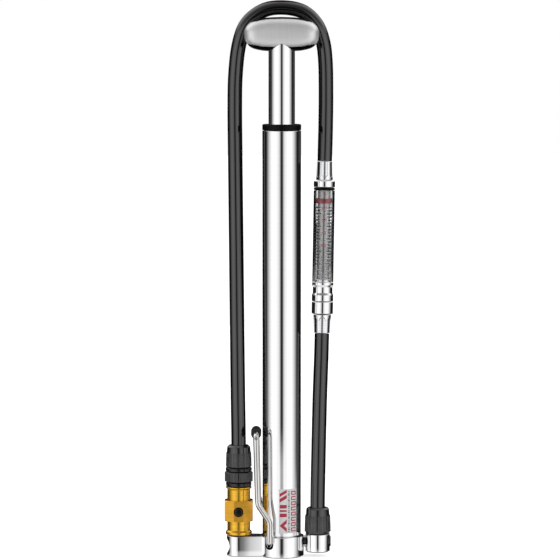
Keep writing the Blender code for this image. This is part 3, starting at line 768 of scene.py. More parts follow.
# %% Extruded outlines
def slab(name, outline, low, high, edge=0.0, steps=4):
    """A flat outline (counter-clockwise) raised from low to high, with rounded top and bottom edges."""
    count = len(outline)
    normals = []
    for i in range(count):
        a, b = Vector(outline[i - 1]), Vector(outline[(i + 1) % count])
        along = (b - a).normalized()
        normals.append(Vector((along.y, -along.x)))
    rows = []
    for k in range(steps + 1):
        turn = math.pi / 2.0 * k / steps
        rows.append((edge * (1.0 - math.sin(turn)), low + edge * (1.0 - math.cos(turn))))
    rows += [(inset, high - (z - low)) for inset, z in reversed(rows)]
    verts, faces = [], []
    for inset, z in rows:
        for (x, y), normal in zip(outline, normals):
            verts.append((x - normal.x * inset, y - normal.y * inset, z))
    for r in range(len(rows) - 1):
        for i in range(count):
            j = (i + 1) % count
            faces.append((r * count + i, r * count + j, (r + 1) * count + j, (r + 1) * count + i))
    faces.append(tuple(reversed(range(count))))
    faces.append(tuple(range((len(rows) - 1) * count, len(rows) * count)))
    return mesh_from(name, verts, faces)


def arc_points(centre, radius, start, end, steps):
    """Points along an arc, with its angles in degrees."""
    points = []
    for i in range(steps + 1):
        angle = math.radians(start + (end - start) * i / steps)
        points.append((centre[0] + radius * math.cos(angle), centre[1] + radius * math.sin(angle)))
    return points


# %% Make the base
BASE_EDGE = 0.5 * MM
boss_high = span("base_casting")[1]
boss_r = barrel_r - 1.3 * MM
CHAMBER_R = 3.2 * MM
PIVOT_HOLE_R = 2.3 * MM
ARM_END_R = 6.8 * MM
WAIST_R = 118.0 * MM
WAIST_FROM, WAIST_TO = 3.0, 12.0
arm_centre = arm_end + ARM_END_R

base_outline = [
    (0, boss_high),
    (boss_r, boss_high),
    (boss_r, ring_top),
    (ring_r, ring_top),
    (ring_r, 0),
    (0, 0),
]
ring_mesh = lathe("base", rounded(base_outline, [0, 0.4 * MM, 0, BASE_EDGE, BASE_EDGE, 0]), 192)
lean = math.radians(WAIST_FROM)
waist_x = arm_centre + (ARM_END_R - WAIST_R) * math.sin(lean)
waist_y = (ARM_END_R - WAIST_R) * math.cos(lean)
arm_side = arc_points((waist_x, waist_y), WAIST_R, 90 - WAIST_TO, 90 - WAIST_FROM, 24)
arm_side += arc_points((arm_centre, 0.0), ARM_END_R, 90 - WAIST_FROM, 180, 40)[1:]
arm_outline = arm_side + [(x, -y) for x, y in reversed(arm_side[:-1])]
arm_mesh = slab("arm", arm_outline, 0.05 * MM, ring_top - 0.2 * MM, 0.45 * MM)
groove_r = 6.9 * MM
groove_x = arm_end + 1.7 * MM - groove_r
groove = peg(groove_r, (groove_x, 0.02, 5.4 * MM), (groove_x, -0.02, 5.4 * MM), 160)
hole_x, hole_z = bail_pivot.x, bail_pivot.z
holes = [
    peg(PIVOT_HOLE_R, (hole_x, side * 6.5 * MM, hole_z), (hole_x, side * 16 * MM, hole_z), 64)
    for side in (-1, 1)
]
chamber = peg(CHAMBER_R, (0, 0, 5 * MM), (0, 0, boss_high + MM), 64)
outlet_z = middle("banjo_bolt").z
outlet = peg(2.4 * MM, (8.2 * MM, 0, outlet_z), (16 * MM, 0, outlet_z), 48)
base_mesh = shaped(
    ring_mesh,
    ("UNION", arm_mesh),
    ("DIFFERENCE", groove),
    ("DIFFERENCE", holes[0]),
    ("DIFFERENCE", holes[1]),
    ("DIFFERENCE", chamber),
    ("DIFFERENCE", outlet),
)
piece("base", base_mesh, polished, "pump_base", "polished_alloy", "base_casting")
# The walls of the bail's pivot holes take the dark finish as painted shade inside the holes.
base_mesh.materials.append(painted_bore_shade)
for face in base_mesh.polygons:
    from_pivot = math.hypot(face.center.x - hole_x, face.center.z - hole_z)
    if from_pivot < PIVOT_HOLE_R + 0.01 * MM and abs(face.center.y) < ring_r - 0.3 * MM:
        face.material_index = 1
print("base faces:", len(base_mesh.polygons))

# %% [markdown]
# Dock post
#
# The chuck is pressed on a small post while the hose is stored. It is a turned stub with a cone lead-in
# and a few shallow grooves that the rubber gasket bites on, so a lathe outline with a sine in it is enough.

# %% Make the dock post
post_low, post_high = span("dock_post")
post_outline = [(0, post_high), (2.3 * MM, post_high), (3.4 * MM, post_high - 1.1 * MM)]
for i in range(41):
    z = post_high - 1.6 * MM - (post_high - post_low - 1.6 * MM) * i / 40
    post_outline.append((3.55 * MM + 0.12 * MM * math.cos(TAU * i / 8), z))
post_outline += [(0, post_low)]
piece("dock_stub", lathe("dock_stub", post_outline, 96), milled, "pump_base", "stainless_steel",
      "dock_post", place=upright(chuck_x))

# %% [markdown]
# Barrel, sealing head and plunger
#
# Everything on the main axis is turned. The barrel is a thin polished tube. The black head that is
# screwed in its mouth holds a bush and a seal for the shaft, and has a rounded rim.

# %% Make the barrel
BARREL_WALL = 1.0 * MM
barrel_outline = tube(barrel_r - BARREL_WALL, barrel_r, barrel_low, barrel_high)
barrel_mesh = lathe("barrel", rounded(barrel_outline, [0, 0.2 * MM, 0.2 * MM, 0, 0], 3), 224)
piece("barrel", barrel_mesh, polished, "pump_base", "polished_alloy", "barrel_tube")

head_low, head_high = span("seal_head")
rim_low = barrel_high + 0.3 * MM
rim_r = radius_of("seal_head")
skirt_r = barrel_r - BARREL_WALL - 0.2 * MM
mouth_r = shaft_r + 0.3 * MM
BUSH_SEAT_R = 8.8 * MM
LIP = 0.8 * MM
head_outline = [
    (mouth_r, head_high),
    (rim_r, head_high),
    (rim_r, rim_low),
    (skirt_r, rim_low),
    (skirt_r, head_low),
    (BUSH_SEAT_R, head_low),
    (BUSH_SEAT_R, head_high - LIP),
    (mouth_r, head_high - LIP),
    (mouth_r, head_high),
]
head_mesh = lathe("head", rounded(head_outline, [0, 0.7 * MM, 0.2 * MM, 0, 0, 0, 0, 0, 0]), 192)
piece("sealing_head", head_mesh, seal_black, "pump_base", "black_plastic", "seal_head")

shaft_low, shaft_high = span("plunger_shaft")
SHAFT_WALL = 1.2 * MM
shaft_outline = tube(shaft_r - SHAFT_WALL, shaft_r, shaft_low, shaft_high)
piece("shaft", lathe("shaft", rounded(shaft_outline, 0.2 * MM, 3), 192), polished,
      "plunger", "polished_alloy", "plunger_shaft")
print("barrel, head and shaft turned")

# %% [markdown]
# Handle
#
# The T-handle is a cast bar that swells like a bar of soap. One outline, seen from the front, is drawn
# from a few points. Copies of it are then stacked from front to back, pulled towards a line inside the
# handle by a superellipse, so that the front stays broad while the rim is fully round. The power says how
# square the section is. A socket for the shaft is cut from below. The faces along the top edge are black,
# and the faces of the underside are black as painted shade.

# %% Make the handle
HANDLE_HALF = [
    (0.0000, 0.3078),
    (0.0090, 0.3073),
    (0.0165, 0.3053),
    (0.0203, 0.3019),
    (0.0212, 0.2982),
    (0.0203, 0.2937),
    (0.0172, 0.2904),
    (0.0120, 0.2889),
    (0.0080, 0.2885),
    (0.0040, 0.2884),
    (0.0000, 0.2884),
]
HANDLE_POWER = 2.7
SPINE_Z = 0.2978
SPINE_HALF = 0.0122
right = [Vector((x, 0, z)) for x, z in HANDLE_HALF]
left = [Vector((-p.x, 0, p.z)) for p in reversed(right[1:-1])]
loop = right + left + [right[0]]
outline = [catmull(loop, i / 8.0) for i in range(8 * (len(loop) - 1))]
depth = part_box("handle")[1].y
layers = 40
verts, faces = [], []
for k in range(layers + 1):
    turn = math.pi * (k + 0.35) / (layers + 0.7)
    size = abs(math.sin(turn)) ** (2.0 / HANDLE_POWER)
    y = -depth * math.copysign(abs(math.cos(turn)) ** (2.0 / HANDLE_POWER), math.cos(turn))
    for p in outline:
        spine = Vector((max(-SPINE_HALF, min(SPINE_HALF, p.x)), 0, SPINE_Z))
        verts.append(spine.lerp(p, size) + Vector((0, y, 0)))
count = len(outline)
for k in range(layers):
    for i in range(count):
        j = (i + 1) % count
        faces.append((k * count + i, k * count + j, (k + 1) * count + j, (k + 1) * count + i))
faces.append(tuple(reversed(range(count))))
faces.append(tuple(range(layers * count, (layers + 1) * count)))
handle_mesh = mesh_from("handle", verts, faces, 60)
work = bmesh.new()
work.from_mesh(handle_mesh)
bmesh.ops.recalc_face_normals(work, faces=work.faces)
work.to_mesh(handle_mesh)
work.free()
socket = peg(shaft_r + 0.3 * MM, (0, 0, 0.280), (0, 0, shaft_high + 0.3 * MM), 128)
handle_mesh = shaped(handle_mesh, ("DIFFERENCE", socket))
piece("handle_grip", handle_mesh, satin, "plunger", "satin_alloy", "handle")
handle_mesh.materials.append(seal_black)
# Steep faces on top are black, and faces that look down are black as painted shade.
TOP_EDGE_SLOPE, UNDER_SHADE_SLOPE = 0.86, -0.62
for face in handle_mesh.polygons:
    on_top = face.normal.z > TOP_EDGE_SLOPE and face.center.z > SPINE_Z
    if on_top or (face.normal.z < UNDER_SHADE_SLOPE and face.center.z < SPINE_Z):
        face.material_index = 1
print("handle faces:", len(handle_mesh.polygons))

# %% [markdown]
# Foot bail
#
# The bail is one drawn wire with five bends on each side, hooked into two holes of the base, and it
# carries a rubber sleeve on its crossbar. The wire is a sweep along straight runs joined by arcs, which
# is how a wire bender makes it.


# %% Make the bail
def bent(corners, radii, steps=10):
    """The path along the corners with each inner corner bent to its radius."""
    path = [corners[0]]
    for i in range(1, len(corners) - 1):
        a, b, c = corners[i - 1], corners[i], corners[i + 1]
        to_a, to_c = (a - b).normalized(), (c - b).normalized()
        half = to_a.angle(to_c) / 2.0
        reach = radii[i - 1] / math.tan(half)
        first, last = b + to_a * reach, b + to_c * reach
        centre = b + (to_a + to_c).normalized() * (radii[i - 1] / math.sin(half))
        for k in range(steps + 1):
            ray = (first - centre).lerp(last - centre, k / steps)
            path.append(centre + ray.normalized() * radii[i - 1])
    path.append(corners[-1])
    return path


WIRE_R = 1.7 * MM
LEG_Y = 13.2 * MM
crossbar = middle("bail_sleeve")
half_bail = [
    Vector((bail_pivot.x, -6.8 * MM, bail_pivot.z)),
    Vector((bail_pivot.x, -LEG_Y, bail_pivot.z)),
    Vector((-6.9 * MM, -LEG_Y, 21.0 * MM)),
    Vector((-13.5 * MM, -LEG_Y, 31.0 * MM)),
    Vector((crossbar.x, -LEG_Y, crossbar.z)),
]
bends = [2.4 * MM, 6.0 * MM, 7.0 * MM, 4.0 * MM]
corners = half_bail + [Vector((p.x, -p.y, p.z)) for p in reversed(half_bail)]
wire_path = bent(corners, bends + bends[::-1])
HOOK_R = 1.2 * MM
HOOK_STEPS, TAPER_STEPS = 3.0, 7.0


def wire_radius(share):
    """The wire is turned down where it hooks into the base, at both ends of the path."""
    steps = min(share, 1.0 - share) * (len(wire_path) - 1)
    return HOOK_R + (WIRE_R - HOOK_R) * min(1.0, max(0.0, (steps - HOOK_STEPS) / TAPER_STEPS))


piece("bail", sweep("bail", wire_path, wire_radius, 40), drawn, "foot_bail", "stainless_steel", "bail_wire")

sleeve_r = 2.95 * MM
sleeve_half = 7.5 * MM
sleeve_outline = tube(WIRE_R + 0.05 * MM, sleeve_r, -sleeve_half, sleeve_half)
sleeve_place = Matrix.Translation(crossbar) @ Matrix.Rotation(math.pi / 2.0, 4, "X")
sleeve_mesh = lathe("sleeve", rounded(sleeve_outline, [0, 0.7 * MM, 0.7 * MM, 0, 0]), 64)
piece("bail_grip", sleeve_mesh, matt_rubber, "foot_bail", "hose_rubber", "bail_sleeve",
      place=sleeve_place)
print("bail wire:", round(path_length(wire_path), 3), "m")

# %% [markdown]
# Chuck
#
# The chuck is turned from bar and keeps a hexagon band for a spanner. A spanner hexagon has chamfered
# ends, which cut the flats in shallow arcs, so the band is the shared volume of a hexagon and a turned
# blank with cone ends. One corner of the hexagon faces the front. It is milled flat for the bleed button.

# %% Make the chuck
chuck_low, chuck_high = span("chuck_body")
HEX_CORNER_R = 8.05 * MM / math.cos(math.pi / 6.0)
HEX_LOW, HEX_HIGH = 20.2 * MM, 32.1 * MM
NECK_R = 6.55 * MM
button_z = middle("bleed_button").z
hexagon = arc_points((0.0, 0.0), HEX_CORNER_R, 30, 330, 5)
band = slab("band", hexagon, HEX_LOW, HEX_HIGH)
CHAMFER = 1.3 * MM
SPOT_FACE_Y = -7.7 * MM
BUTTON_HOLE_R = 2.8 * MM
blank = [
    (0, HEX_HIGH),
    (HEX_CORNER_R - CHAMFER * 0.75, HEX_HIGH),
    (HEX_CORNER_R + 0.1 * MM, HEX_HIGH - CHAMFER),
    (HEX_CORNER_R + 0.1 * MM, HEX_LOW + CHAMFER),
    (HEX_CORNER_R - CHAMFER * 0.75, HEX_LOW),
    (0, HEX_LOW),
]
band = shaped(band, ("INTERSECT", lathe("blank", blank, 160)))
chuck_outline = [
    (0, chuck_high),
    (7.35 * MM, chuck_high),
    (7.35 * MM, 39.0 * MM),
    (NECK_R, 38.4 * MM),
    (NECK_R, 14.7 * MM),
    (7.5 * MM, 13.9 * MM),
    (7.5 * MM, chuck_low),
    (0, chuck_low),
]
spot_corners = [(-9 * MM, -15 * MM), (9 * MM, -15 * MM), (9 * MM, SPOT_FACE_Y), (-9 * MM, SPOT_FACE_Y)]
chuck_soft = [0, 0.25 * MM, 0.25 * MM, 0.4 * MM, 0.5 * MM, 0.4 * MM, 0.35 * MM, 0]
chuck_mesh = shaped(
    lathe("chuck", rounded(chuck_outline, chuck_soft), 192),
    ("UNION", band),
    ("DIFFERENCE", peg(4.3 * MM, (0, 0, 0.010), (0, 0, 21.5 * MM))),
    ("DIFFERENCE", peg(2.6 * MM, (0, 0, 0.020), (0, 0, 34.0 * MM))),
    ("DIFFERENCE", peg(4.3 * MM, (0, 0, 33.0 * MM), (0, 0, 0.045))),
    ("DIFFERENCE", slab("spot_face", spot_corners, HEX_LOW - MM, HEX_HIGH + MM)),
    ("DIFFERENCE", peg(BUTTON_HOLE_R, (0, -12 * MM, button_z), (0, -1 * MM, button_z))),
)
chuck = piece("chuck", chuck_mesh, gold, "chuck", "gold_anodised", "chuck_body", place=upright(chuck_x))
# The hexagon's flats take the milled gold, and the walls of the button's hole take the dark finish as
# painted shade.
chuck_mesh.materials.append(gold_flat)
chuck_mesh.materials.append(painted_bore_shade)
for face in chuck_mesh.polygons:
    from_axis = math.hypot(face.center.x - chuck_x, face.center.y)
    from_button = math.hypot(face.center.x - chuck_x, face.center.z - button_z)
    in_hole = from_button < BUTTON_HOLE_R + 0.01 * MM and from_axis < -SPOT_FACE_Y - 0.1 * MM
    on_band = HEX_LOW < face.center.z < HEX_HIGH and from_axis > NECK_R + 0.4 * MM
    if face.center.y < 0 and in_hole:
        face.material_index = 2
    elif on_band and abs(face.normal.z) < 0.1:
        face.material_index = 1

button_front = -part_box("bleed_button")[0].y
button_outline = [
    (0, button_front),
    (2.35 * MM, button_front),
    (2.35 * MM, 4.0 * MM),
    (1.2 * MM, 4.0 * MM),
    (1.2 * MM, 2.6 * MM),
    (0, 2.6 * MM),
]
button_place = Matrix.Translation((chuck_x, 0, button_z)) @ Matrix.Rotation(math.pi / 2.0, 4, "X")
button_mesh = lathe("button", rounded(button_outline, [0, 0.6 * MM, 0, 0, 0, 0]), 72)
button = piece("button_cap", button_mesh, gloss_black, "button", "black_plastic", "bleed_button",
               place=button_place)
print("chuck faces:", len(chuck_mesh.polygons))

# %% [markdown]
# Ribs by Geometry Nodes
#
# The nuts and the knurled ring are gripped by straight ribs that stand round an axis. That is a rule, so
# one node tree makes all three: a line from a low point to a high point, its thickness faded out at both
# ends, swept to a rib, copied round the axis, and joined to the turned body that the modifier sits on.


# %% Node tree helpers
def geometry_tree(name, inputs):
    """A Geometry Nodes tree with Geometry in and out and the given inputs."""
    tree = bpy.data.node_groups.new(name, "GeometryNodeTree")
    tree.interface.new_socket("Geometry", in_out="INPUT", socket_type="NodeSocketGeometry")
    for label, (kind, value) in inputs.items():
        socket = tree.interface.new_socket(label, in_out="INPUT", socket_type=kind)
        if value is not None:
            socket.default_value = value
    tree.interface.new_socket("Geometry", in_out="OUTPUT", socket_type="NodeSocketGeometry")
    start = tree.nodes.new("NodeGroupInput")
    end = tree.nodes.new("NodeGroupOutput")
    return tree, start.outputs, end.inputs["Geometry"]


def painted_real(tree, geometry, coat, out):
    """Ends a tree with real geometry in its finish."""
    real = node(tree, "GeometryNodeRealizeInstances", {"Geometry": geometry})
    painted = node(tree, "GeometryNodeSetMaterial", {"Geometry": real.outputs[0], "Material": coat})
    tree.links.new(painted.outputs[0], out)


def grown(mesh, tree, **values):
    """A plain mesh of what the tree makes from a mesh and its values, with the modifier gone."""
    obj = bpy.data.objects.new("growing", mesh)
    bpy.context.scene.collection.objects.link(obj)
    change = obj.modifiers.new(tree.name, "NODES")
    change.node_group = tree
    for socket in tree.interface.items_tree:
        if socket.in_out == "INPUT" and socket.name in values:
            change[socket.identifier] = values[socket.name]
    result = evaluated_mesh(obj)
    bpy.data.objects.remove(obj)
    result.shade_smooth()
    result.set_sharp_from_angle(angle=math.radians(38.0))
    return result


FLOAT_IN, INT_IN, MATERIAL_IN = "NodeSocketFloat", "NodeSocketInt", "NodeSocketMaterial"

# %% Tree: ribs round an axis
rib_inputs = {
    "Count": (INT_IN, 24),
    "LowRadius": (FLOAT_IN, 0.0073),
    "LowHeight": (FLOAT_IN, 0.0),
    "HighRadius": (FLOAT_IN, 0.0070),
    "HighHeight": (FLOAT_IN, 0.008),
    "RibRadius": (FLOAT_IN, 0.0005),
    "Finish": (MATERIAL_IN, None),
}
rib_tree, rin, rout = geometry_tree("ring_of_ribs", rib_inputs)
low_point = vector_of(rib_tree, rin["LowRadius"], 0.0, rin["LowHeight"])
high_point = vector_of(rib_tree, rin["HighRadius"], 0.0, rin["HighHeight"])
line = node(rib_tree, "GeometryNodeCurvePrimitiveLine", {"Start": low_point, "End": high_point})
fine_line = node(rib_tree, "GeometryNodeResampleCurve", {"Curve": line.outputs[0], "Count": 25})
along = node(rib_tree, "GeometryNodeSplineParameter").outputs["Factor"]
centred = math_of(rib_tree, "ABSOLUTE", math_of(rib_tree, "MULTIPLY_ADD", along, 2.0, -1.0))
drop = math_of(rib_tree, "POWER", centred, 10.0)
fade = math_of(rib_tree, "SQRT", math_of(rib_tree, "SUBTRACT", 1.0001, drop))
thick = node(rib_tree, "GeometryNodeSetCurveRadius", {"Curve": fine_line.outputs[0], "Radius": fade})
section = node(rib_tree, "GeometryNodeCurvePrimitiveCircle", {"Resolution": 12, "Radius": rin["RibRadius"]})
rib = node(rib_tree, "GeometryNodeCurveToMesh", {
    "Curve": thick.outputs[0], "Profile Curve": section.outputs[0], "Fill Caps": True})
spots = node(rib_tree, "GeometryNodePoints", {"Count": rin["Count"]})
step = math_of(rib_tree, "DIVIDE", TAU, rin["Count"])
turn = math_of(rib_tree, "MULTIPLY", node(rib_tree, "GeometryNodeInputIndex").outputs[0], step)
spread = node(rib_tree, "GeometryNodeInstanceOnPoints", {
    "Points": spots.outputs[0], "Instance": rib.outputs[0],
    "Rotation": vector_of(rib_tree, 0.0, 0.0, turn)})
real = node(rib_tree, "GeometryNodeRealizeInstances", {"Geometry": spread.outputs[0]})
joined = node(rib_tree, "GeometryNodeJoinGeometry", {"Geometry": real.outputs[0]})
rib_tree.links.new(rin["Geometry"], joined.inputs["Geometry"])
painted = node(rib_tree, "GeometryNodeSetMaterial", {
    "Geometry": joined.outputs[0], "Material": rin["Finish"]})
rib_tree.links.new(painted.outputs[0], rout)
print("rib tree nodes:", len(rib_tree.nodes))

# %% [markdown]
# Hose end
#
# Between the hose and the chuck sit four black moulded parts: a flange that the chuck screws to, a
# knurled ring, a glossy collar, and a cone nut that squeezes the hose. Each is a turned ring with rounded
# edges, and the ring and the nut take ribs from the tree.


# %% Make the hose end
def turned_ring(name, outside, bore, soft, steps=160):
    """A turned ring from its outer corners, top to bottom, and its bore."""
    outline = [(bore, outside[0][1]), *outside, (bore, outside[-1][1]), (bore, outside[0][1])]
    return lathe(name, rounded(outline, soft, 5), steps)


RING_BORE, NUT_BORE = 5.3 * MM, 4.6 * MM
RING_SOFT = [0, 0.5 * MM, 0.5 * MM, 0, 0]


fit_low, fit_high = span("hose_end_fitting")
flange_low, flange_high = chuck_high + 0.3 * MM, 42.4 * MM
fitting_outline = [
    (1.6 * MM, fit_high),
    (5.0 * MM, fit_high),
    (5.0 * MM, flange_high),
    (7.3 * MM, flange_high),
    (7.3 * MM, flange_low),
    (4.0 * MM, flange_low),
    (4.0 * MM, fit_low),
    (1.6 * MM, fit_low),
    (1.6 * MM, fit_high),
]
fitting_mesh = lathe("fitting", rounded(fitting_outline, [0, 0, 0, 0.5 * MM, 0.5 * MM, 0, 0, 0, 0]), 160)
fitting = piece("hose_end", fitting_mesh, gloss_black, "pump_base", "black_plastic", "hose_end_fitting",
                place=upright(chuck_x))

ring_low, ring_high = span("knurled_ring")
knurl_body = turned_ring("knurl", [(7.7 * MM, ring_high), (7.7 * MM, ring_low)], RING_BORE, RING_SOFT)
knurl_mesh = grown(
    knurl_body, rib_tree, Count=34, LowRadius=7.55 * MM, HighRadius=7.55 * MM, RibRadius=0.5 * MM,
    LowHeight=ring_low + 0.25 * MM, HighHeight=ring_high - 0.25 * MM, Finish=black,
)
knurl = piece("knurled_grip", knurl_mesh, black, "pump_base", "black_plastic", "knurled_ring",
              place=upright(chuck_x))

collar_low, collar_high = span("fitting_collar")
collar_corners = [(7.5 * MM, collar_high), (7.5 * MM, collar_low)]
collar_mesh = turned_ring("collar", collar_corners, RING_BORE, RING_SOFT)
collar = piece("collar", collar_mesh, gloss_black, "pump_base", "black_plastic", "fitting_collar",
               place=upright(chuck_x))

nut_low, nut_high = span("upper_hose_nut")
nut_outline = [
    (5.6 * MM, nut_high),
    (6.6 * MM, nut_high - 1.0 * MM),
    (7.15 * MM, nut_low + 5.2 * MM),
    (7.15 * MM, nut_low),
]
nut_body = turned_ring("nut", nut_outline, NUT_BORE, [0, 0, 0.6 * MM, 2.0 * MM, 0.5 * MM, 0, 0])
nut_mesh = grown(
    nut_body, rib_tree, Count=29, LowRadius=6.95 * MM, HighRadius=6.72 * MM, RibRadius=0.48 * MM,
    LowHeight=nut_low + 0.4 * MM, HighHeight=nut_low + 8.2 * MM, Finish=black,
)
upper_nut = piece("upper_nut", nut_mesh, black, "pump_base", "black_plastic", "upper_hose_nut",
                  place=upright(chuck_x))
print("hose end pieces: 4")

# %% [markdown]
# Hose socket at the base
#
# On the right of the base a small polished drum stands on a hollow bolt. It takes the air from the base
# and passes it up into the hose. Its nut is the same cone as at the other end. The bolt goes through from
# the right, where its head shows as a dark disc with a hexagon recess.

# %% Make the hose socket
socket_low, socket_high = span("hose_socket")
SOCKET_R = radius_of("hose_socket")
drum = [(0, socket_high), (SOCKET_R, socket_high), (SOCKET_R, socket_low), (0, socket_low)]
drum_mesh = lathe("drum", rounded(drum, [0, 0.25 * MM, 0.7 * MM, 0]), 192)
local_face = 14.0 * MM - socket_x
drum_mesh = shaped(
    drum_mesh,
    ("DIFFERENCE", peg(3.8 * MM, (local_face - 5 * MM, 0, outlet_z), (local_face, 0, outlet_z))),
    ("DIFFERENCE", peg(2.4 * MM, (-12 * MM, 0, outlet_z), (12 * MM, 0, outlet_z))),
    ("DIFFERENCE", peg(3.4 * MM, (5.6 * MM, 0, outlet_z), (12 * MM, 0, outlet_z))),
)
piece("socket_drum", drum_mesh, polished, "pump_base", "polished_alloy", "hose_socket",
      place=upright(socket_x))

bolt_low, bolt_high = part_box("banjo_bolt")
bolt_outline = [
    (0, bolt_high.x),
    (3.1 * MM, bolt_high.x),
    (3.1 * MM, 26.5 * MM),
    (2.1 * MM, 26.5 * MM),
    (2.1 * MM, bolt_low.x),
    (0, bolt_low.x),
]
key_outline = arc_points((0.0, 0.0), 1.5 * MM, 0, 300, 5)
hex_key = slab("key", key_outline, bolt_high.x - 1.0 * MM, bolt_high.x + 1.0 * MM)
bolt_body = lathe("bolt", rounded(bolt_outline, [0, 0.5 * MM, 0, 0, 0, 0]), 96)
bolt_mesh = shaped(bolt_body, ("DIFFERENCE", hex_key))
lying = Matrix.Translation((0, 0, outlet_z)) @ Matrix.Rotation(math.pi / 2.0, 4, "Y")
piece("hollow_bolt", bolt_mesh, dark_steel, "pump_base", "dark_steel", "banjo_bolt", place=lying)

washer_low, washer_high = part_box("banjo_washer")
washer_mesh = turned_ring(
    "washer", [(3.4 * MM, washer_high.x), (3.4 * MM, washer_low.x)], 2.4 * MM,
    [0, 0.2 * MM, 0.2 * MM, 0, 0], 96,
)
piece("washer", washer_mesh, matt_rubber, "pump_base", "seal_rubber", "banjo_washer", place=lying)

lower_low, lower_high = span("lower_hose_nut")
lower_outline = [
    (5.7 * MM, lower_high),
    (6.5 * MM, lower_high - 0.8 * MM),
    (7.25 * MM, lower_low + 5.0 * MM),
    (7.2 * MM, lower_low + 1.6 * MM),
    (6.8 * MM, lower_low),
]
lower_body = turned_ring(
    "nut", lower_outline, NUT_BORE, [0, 0, 0.5 * MM, 2.0 * MM, 0.8 * MM, 0.4 * MM, 0, 0]
)
lower_mesh = grown(
    lower_body, rib_tree, Count=29, LowRadius=7.05 * MM, HighRadius=6.72 * MM, RibRadius=0.5 * MM,
    LowHeight=lower_low + 1.2 * MM, HighHeight=lower_low + 10.4 * MM, Finish=black,
)
piece("lower_nut", lower_mesh, black, "pump_base", "black_plastic", "lower_hose_nut",
      place=upright(socket_x))
print("socket pieces: 4")

# %% [markdown]
# Gauge
#
# The gauge is a clear tube between two polished ends, set in the hose. Air pushes a red indicator
# down the tube against a coil spring. It is built upright about its own axis and then leaned, like the
# real one hangs in the hose. The two ferrules are turned, and then the lathe's flute function
# mills six shallow slots on each, with the round end that a milling cutter leaves.

# %% Gauge frame and ferrules
gauge_foot = Vector(LOWER_ROUTE[-1])
gauge_x = (Vector((1, 0, 0)) - gauge_up * gauge_up.x).normalized()
gauge_y = gauge_up.cross(gauge_x)
gauge_place = Matrix((gauge_x, gauge_y, gauge_up)).transposed().to_4x4()
gauge_place = Matrix.Translation(gauge_foot) @ gauge_place


def gauge_piece(name, mesh, material, slot, *nodes, body="pump_base"):
    """A piece of the gauge, leaned with it and listed as carried by the hose."""
    obj = piece(name, mesh, material, body, slot, *nodes, place=gauge_place)
    obj.visible_glossy = False
    return obj


def dense(outline, step):
    """The outline with more points on its long runs."""
    out = [outline[0]]
    for (r0, z0), (r1, z1) in zip(outline, outline[1:]):
        count = max(1, math.ceil(math.hypot(r1 - r0, z1 - z0) / step))
        out += [(r0 + (r1 - r0) * i / count, z0 + (z1 - z0) * i / count) for i in range(1, count + 1)]
    return out


SLOTS = 6
SLOT_HALF = 0.40  # half a slot's width, as a share of the radius
SLOT_DEPTH = 0.40 * MM
SLOT_EDGE = 0.14 * MM
SHANK_R = 3.0 * MM


def milled_slots(end, direction):
    """A flute function for shallow slots with a round end at a height, that go on in a direction."""
    def flute(r, z, angle):
        inside = (z - end) * direction
        if r < SHANK_R or inside <= 0:
            return r
        reach = SLOT_HALF * r
        width = reach if inside >= reach else math.sqrt(reach**2 - (reach - inside) ** 2)
        pitch = TAU / SLOTS
        off = (angle + math.pi / 2.0 + pitch / 2.0) % pitch - pitch / 2.0
        share = min(1.0, max(0.0, (width - abs(off) * r) / SLOT_EDGE))
        return r - SLOT_DEPTH * share
    return flute


FERRULES = {  # piece: (node, where the slots end, which way they run, softness and corners in mm)
    "lower_ferrule_body": (
        "lower_ferrule", 9.3, -1, [0, 0.3, 0.5, 0.2, 0],
        [(0, 10.8), (5.0, 10.8), (5.0, 10.0), (4.75, 0.3), (0, 0.3)],
    ),
    "upper_ferrule_body": (
        "upper_ferrule", 89.4, 1, [0, 0.2, 0.5, 0.3, 0.2, 0],
        [(0, 98.3), (4.55, 98.3), (4.75, 89.2), (4.75, 87.9), (4.5, 87.4), (0, 87.4)],
    ),
}
for name, (cad_node, slot_end, run, soft, corners) in FERRULES.items():
    outline = rounded([(r * MM, z * MM) for r, z in corners], [radius * MM for radius in soft])
    ferrule = lathe("ferrule", dense(outline, 0.25 * MM), 240, flute=milled_slots(slot_end * MM, run))
    gauge_piece(name, ferrule, milled, "polished_alloy", cad_node)
print("ferrules with", SLOTS, "slots each")

# %% Gauge ends and tube
GAUGE_TURNED = {  # piece: (finish, slot, node, corner softness in mm, corners in mm)
    "gauge_collar": (
        polished, "polished_alloy", "gauge_sleeve", 0.35,
        [(0, 18.1), (6.1, 18.1), (6.1, 11.5), (5.8, 11.1), (0, 11.1)],
    ),
    "gauge_lower_end": (
        polished, "polished_alloy", "gauge_bottom_cap", 0.3,
        [(0, 31.2), (4.5, 31.2), (4.5, 29.2), (6.1, 29.2), (6.1, 27.8), (5.6, 26.5), (5.6, 23.2),
         (6.1, 21.9), (6.1, 18.4), (0, 18.4)],
    ),
    "gauge_upper_end": (
        polished, "polished_alloy", "gauge_top_cap", 0.3,
        [(0, 87.1), (6.1, 87.1), (6.1, 83.6), (4.3, 83.6), (4.3, 81.5), (0, 81.5)],
    ),
    "gauge_inner_core": (
        core_metal, "satin_alloy", "gauge_core", 0.2,
        tube(2.6, 3.7, 31.5, 81.2),
    ),
}
for name, (coat, slot_name, cad_node, soft, corners) in GAUGE_TURNED.items():
    outline = rounded([(r * MM, z * MM) for r, z in corners], soft * MM)
    gauge_piece(name, lathe(name, outline, 160), coat, slot_name, cad_node)

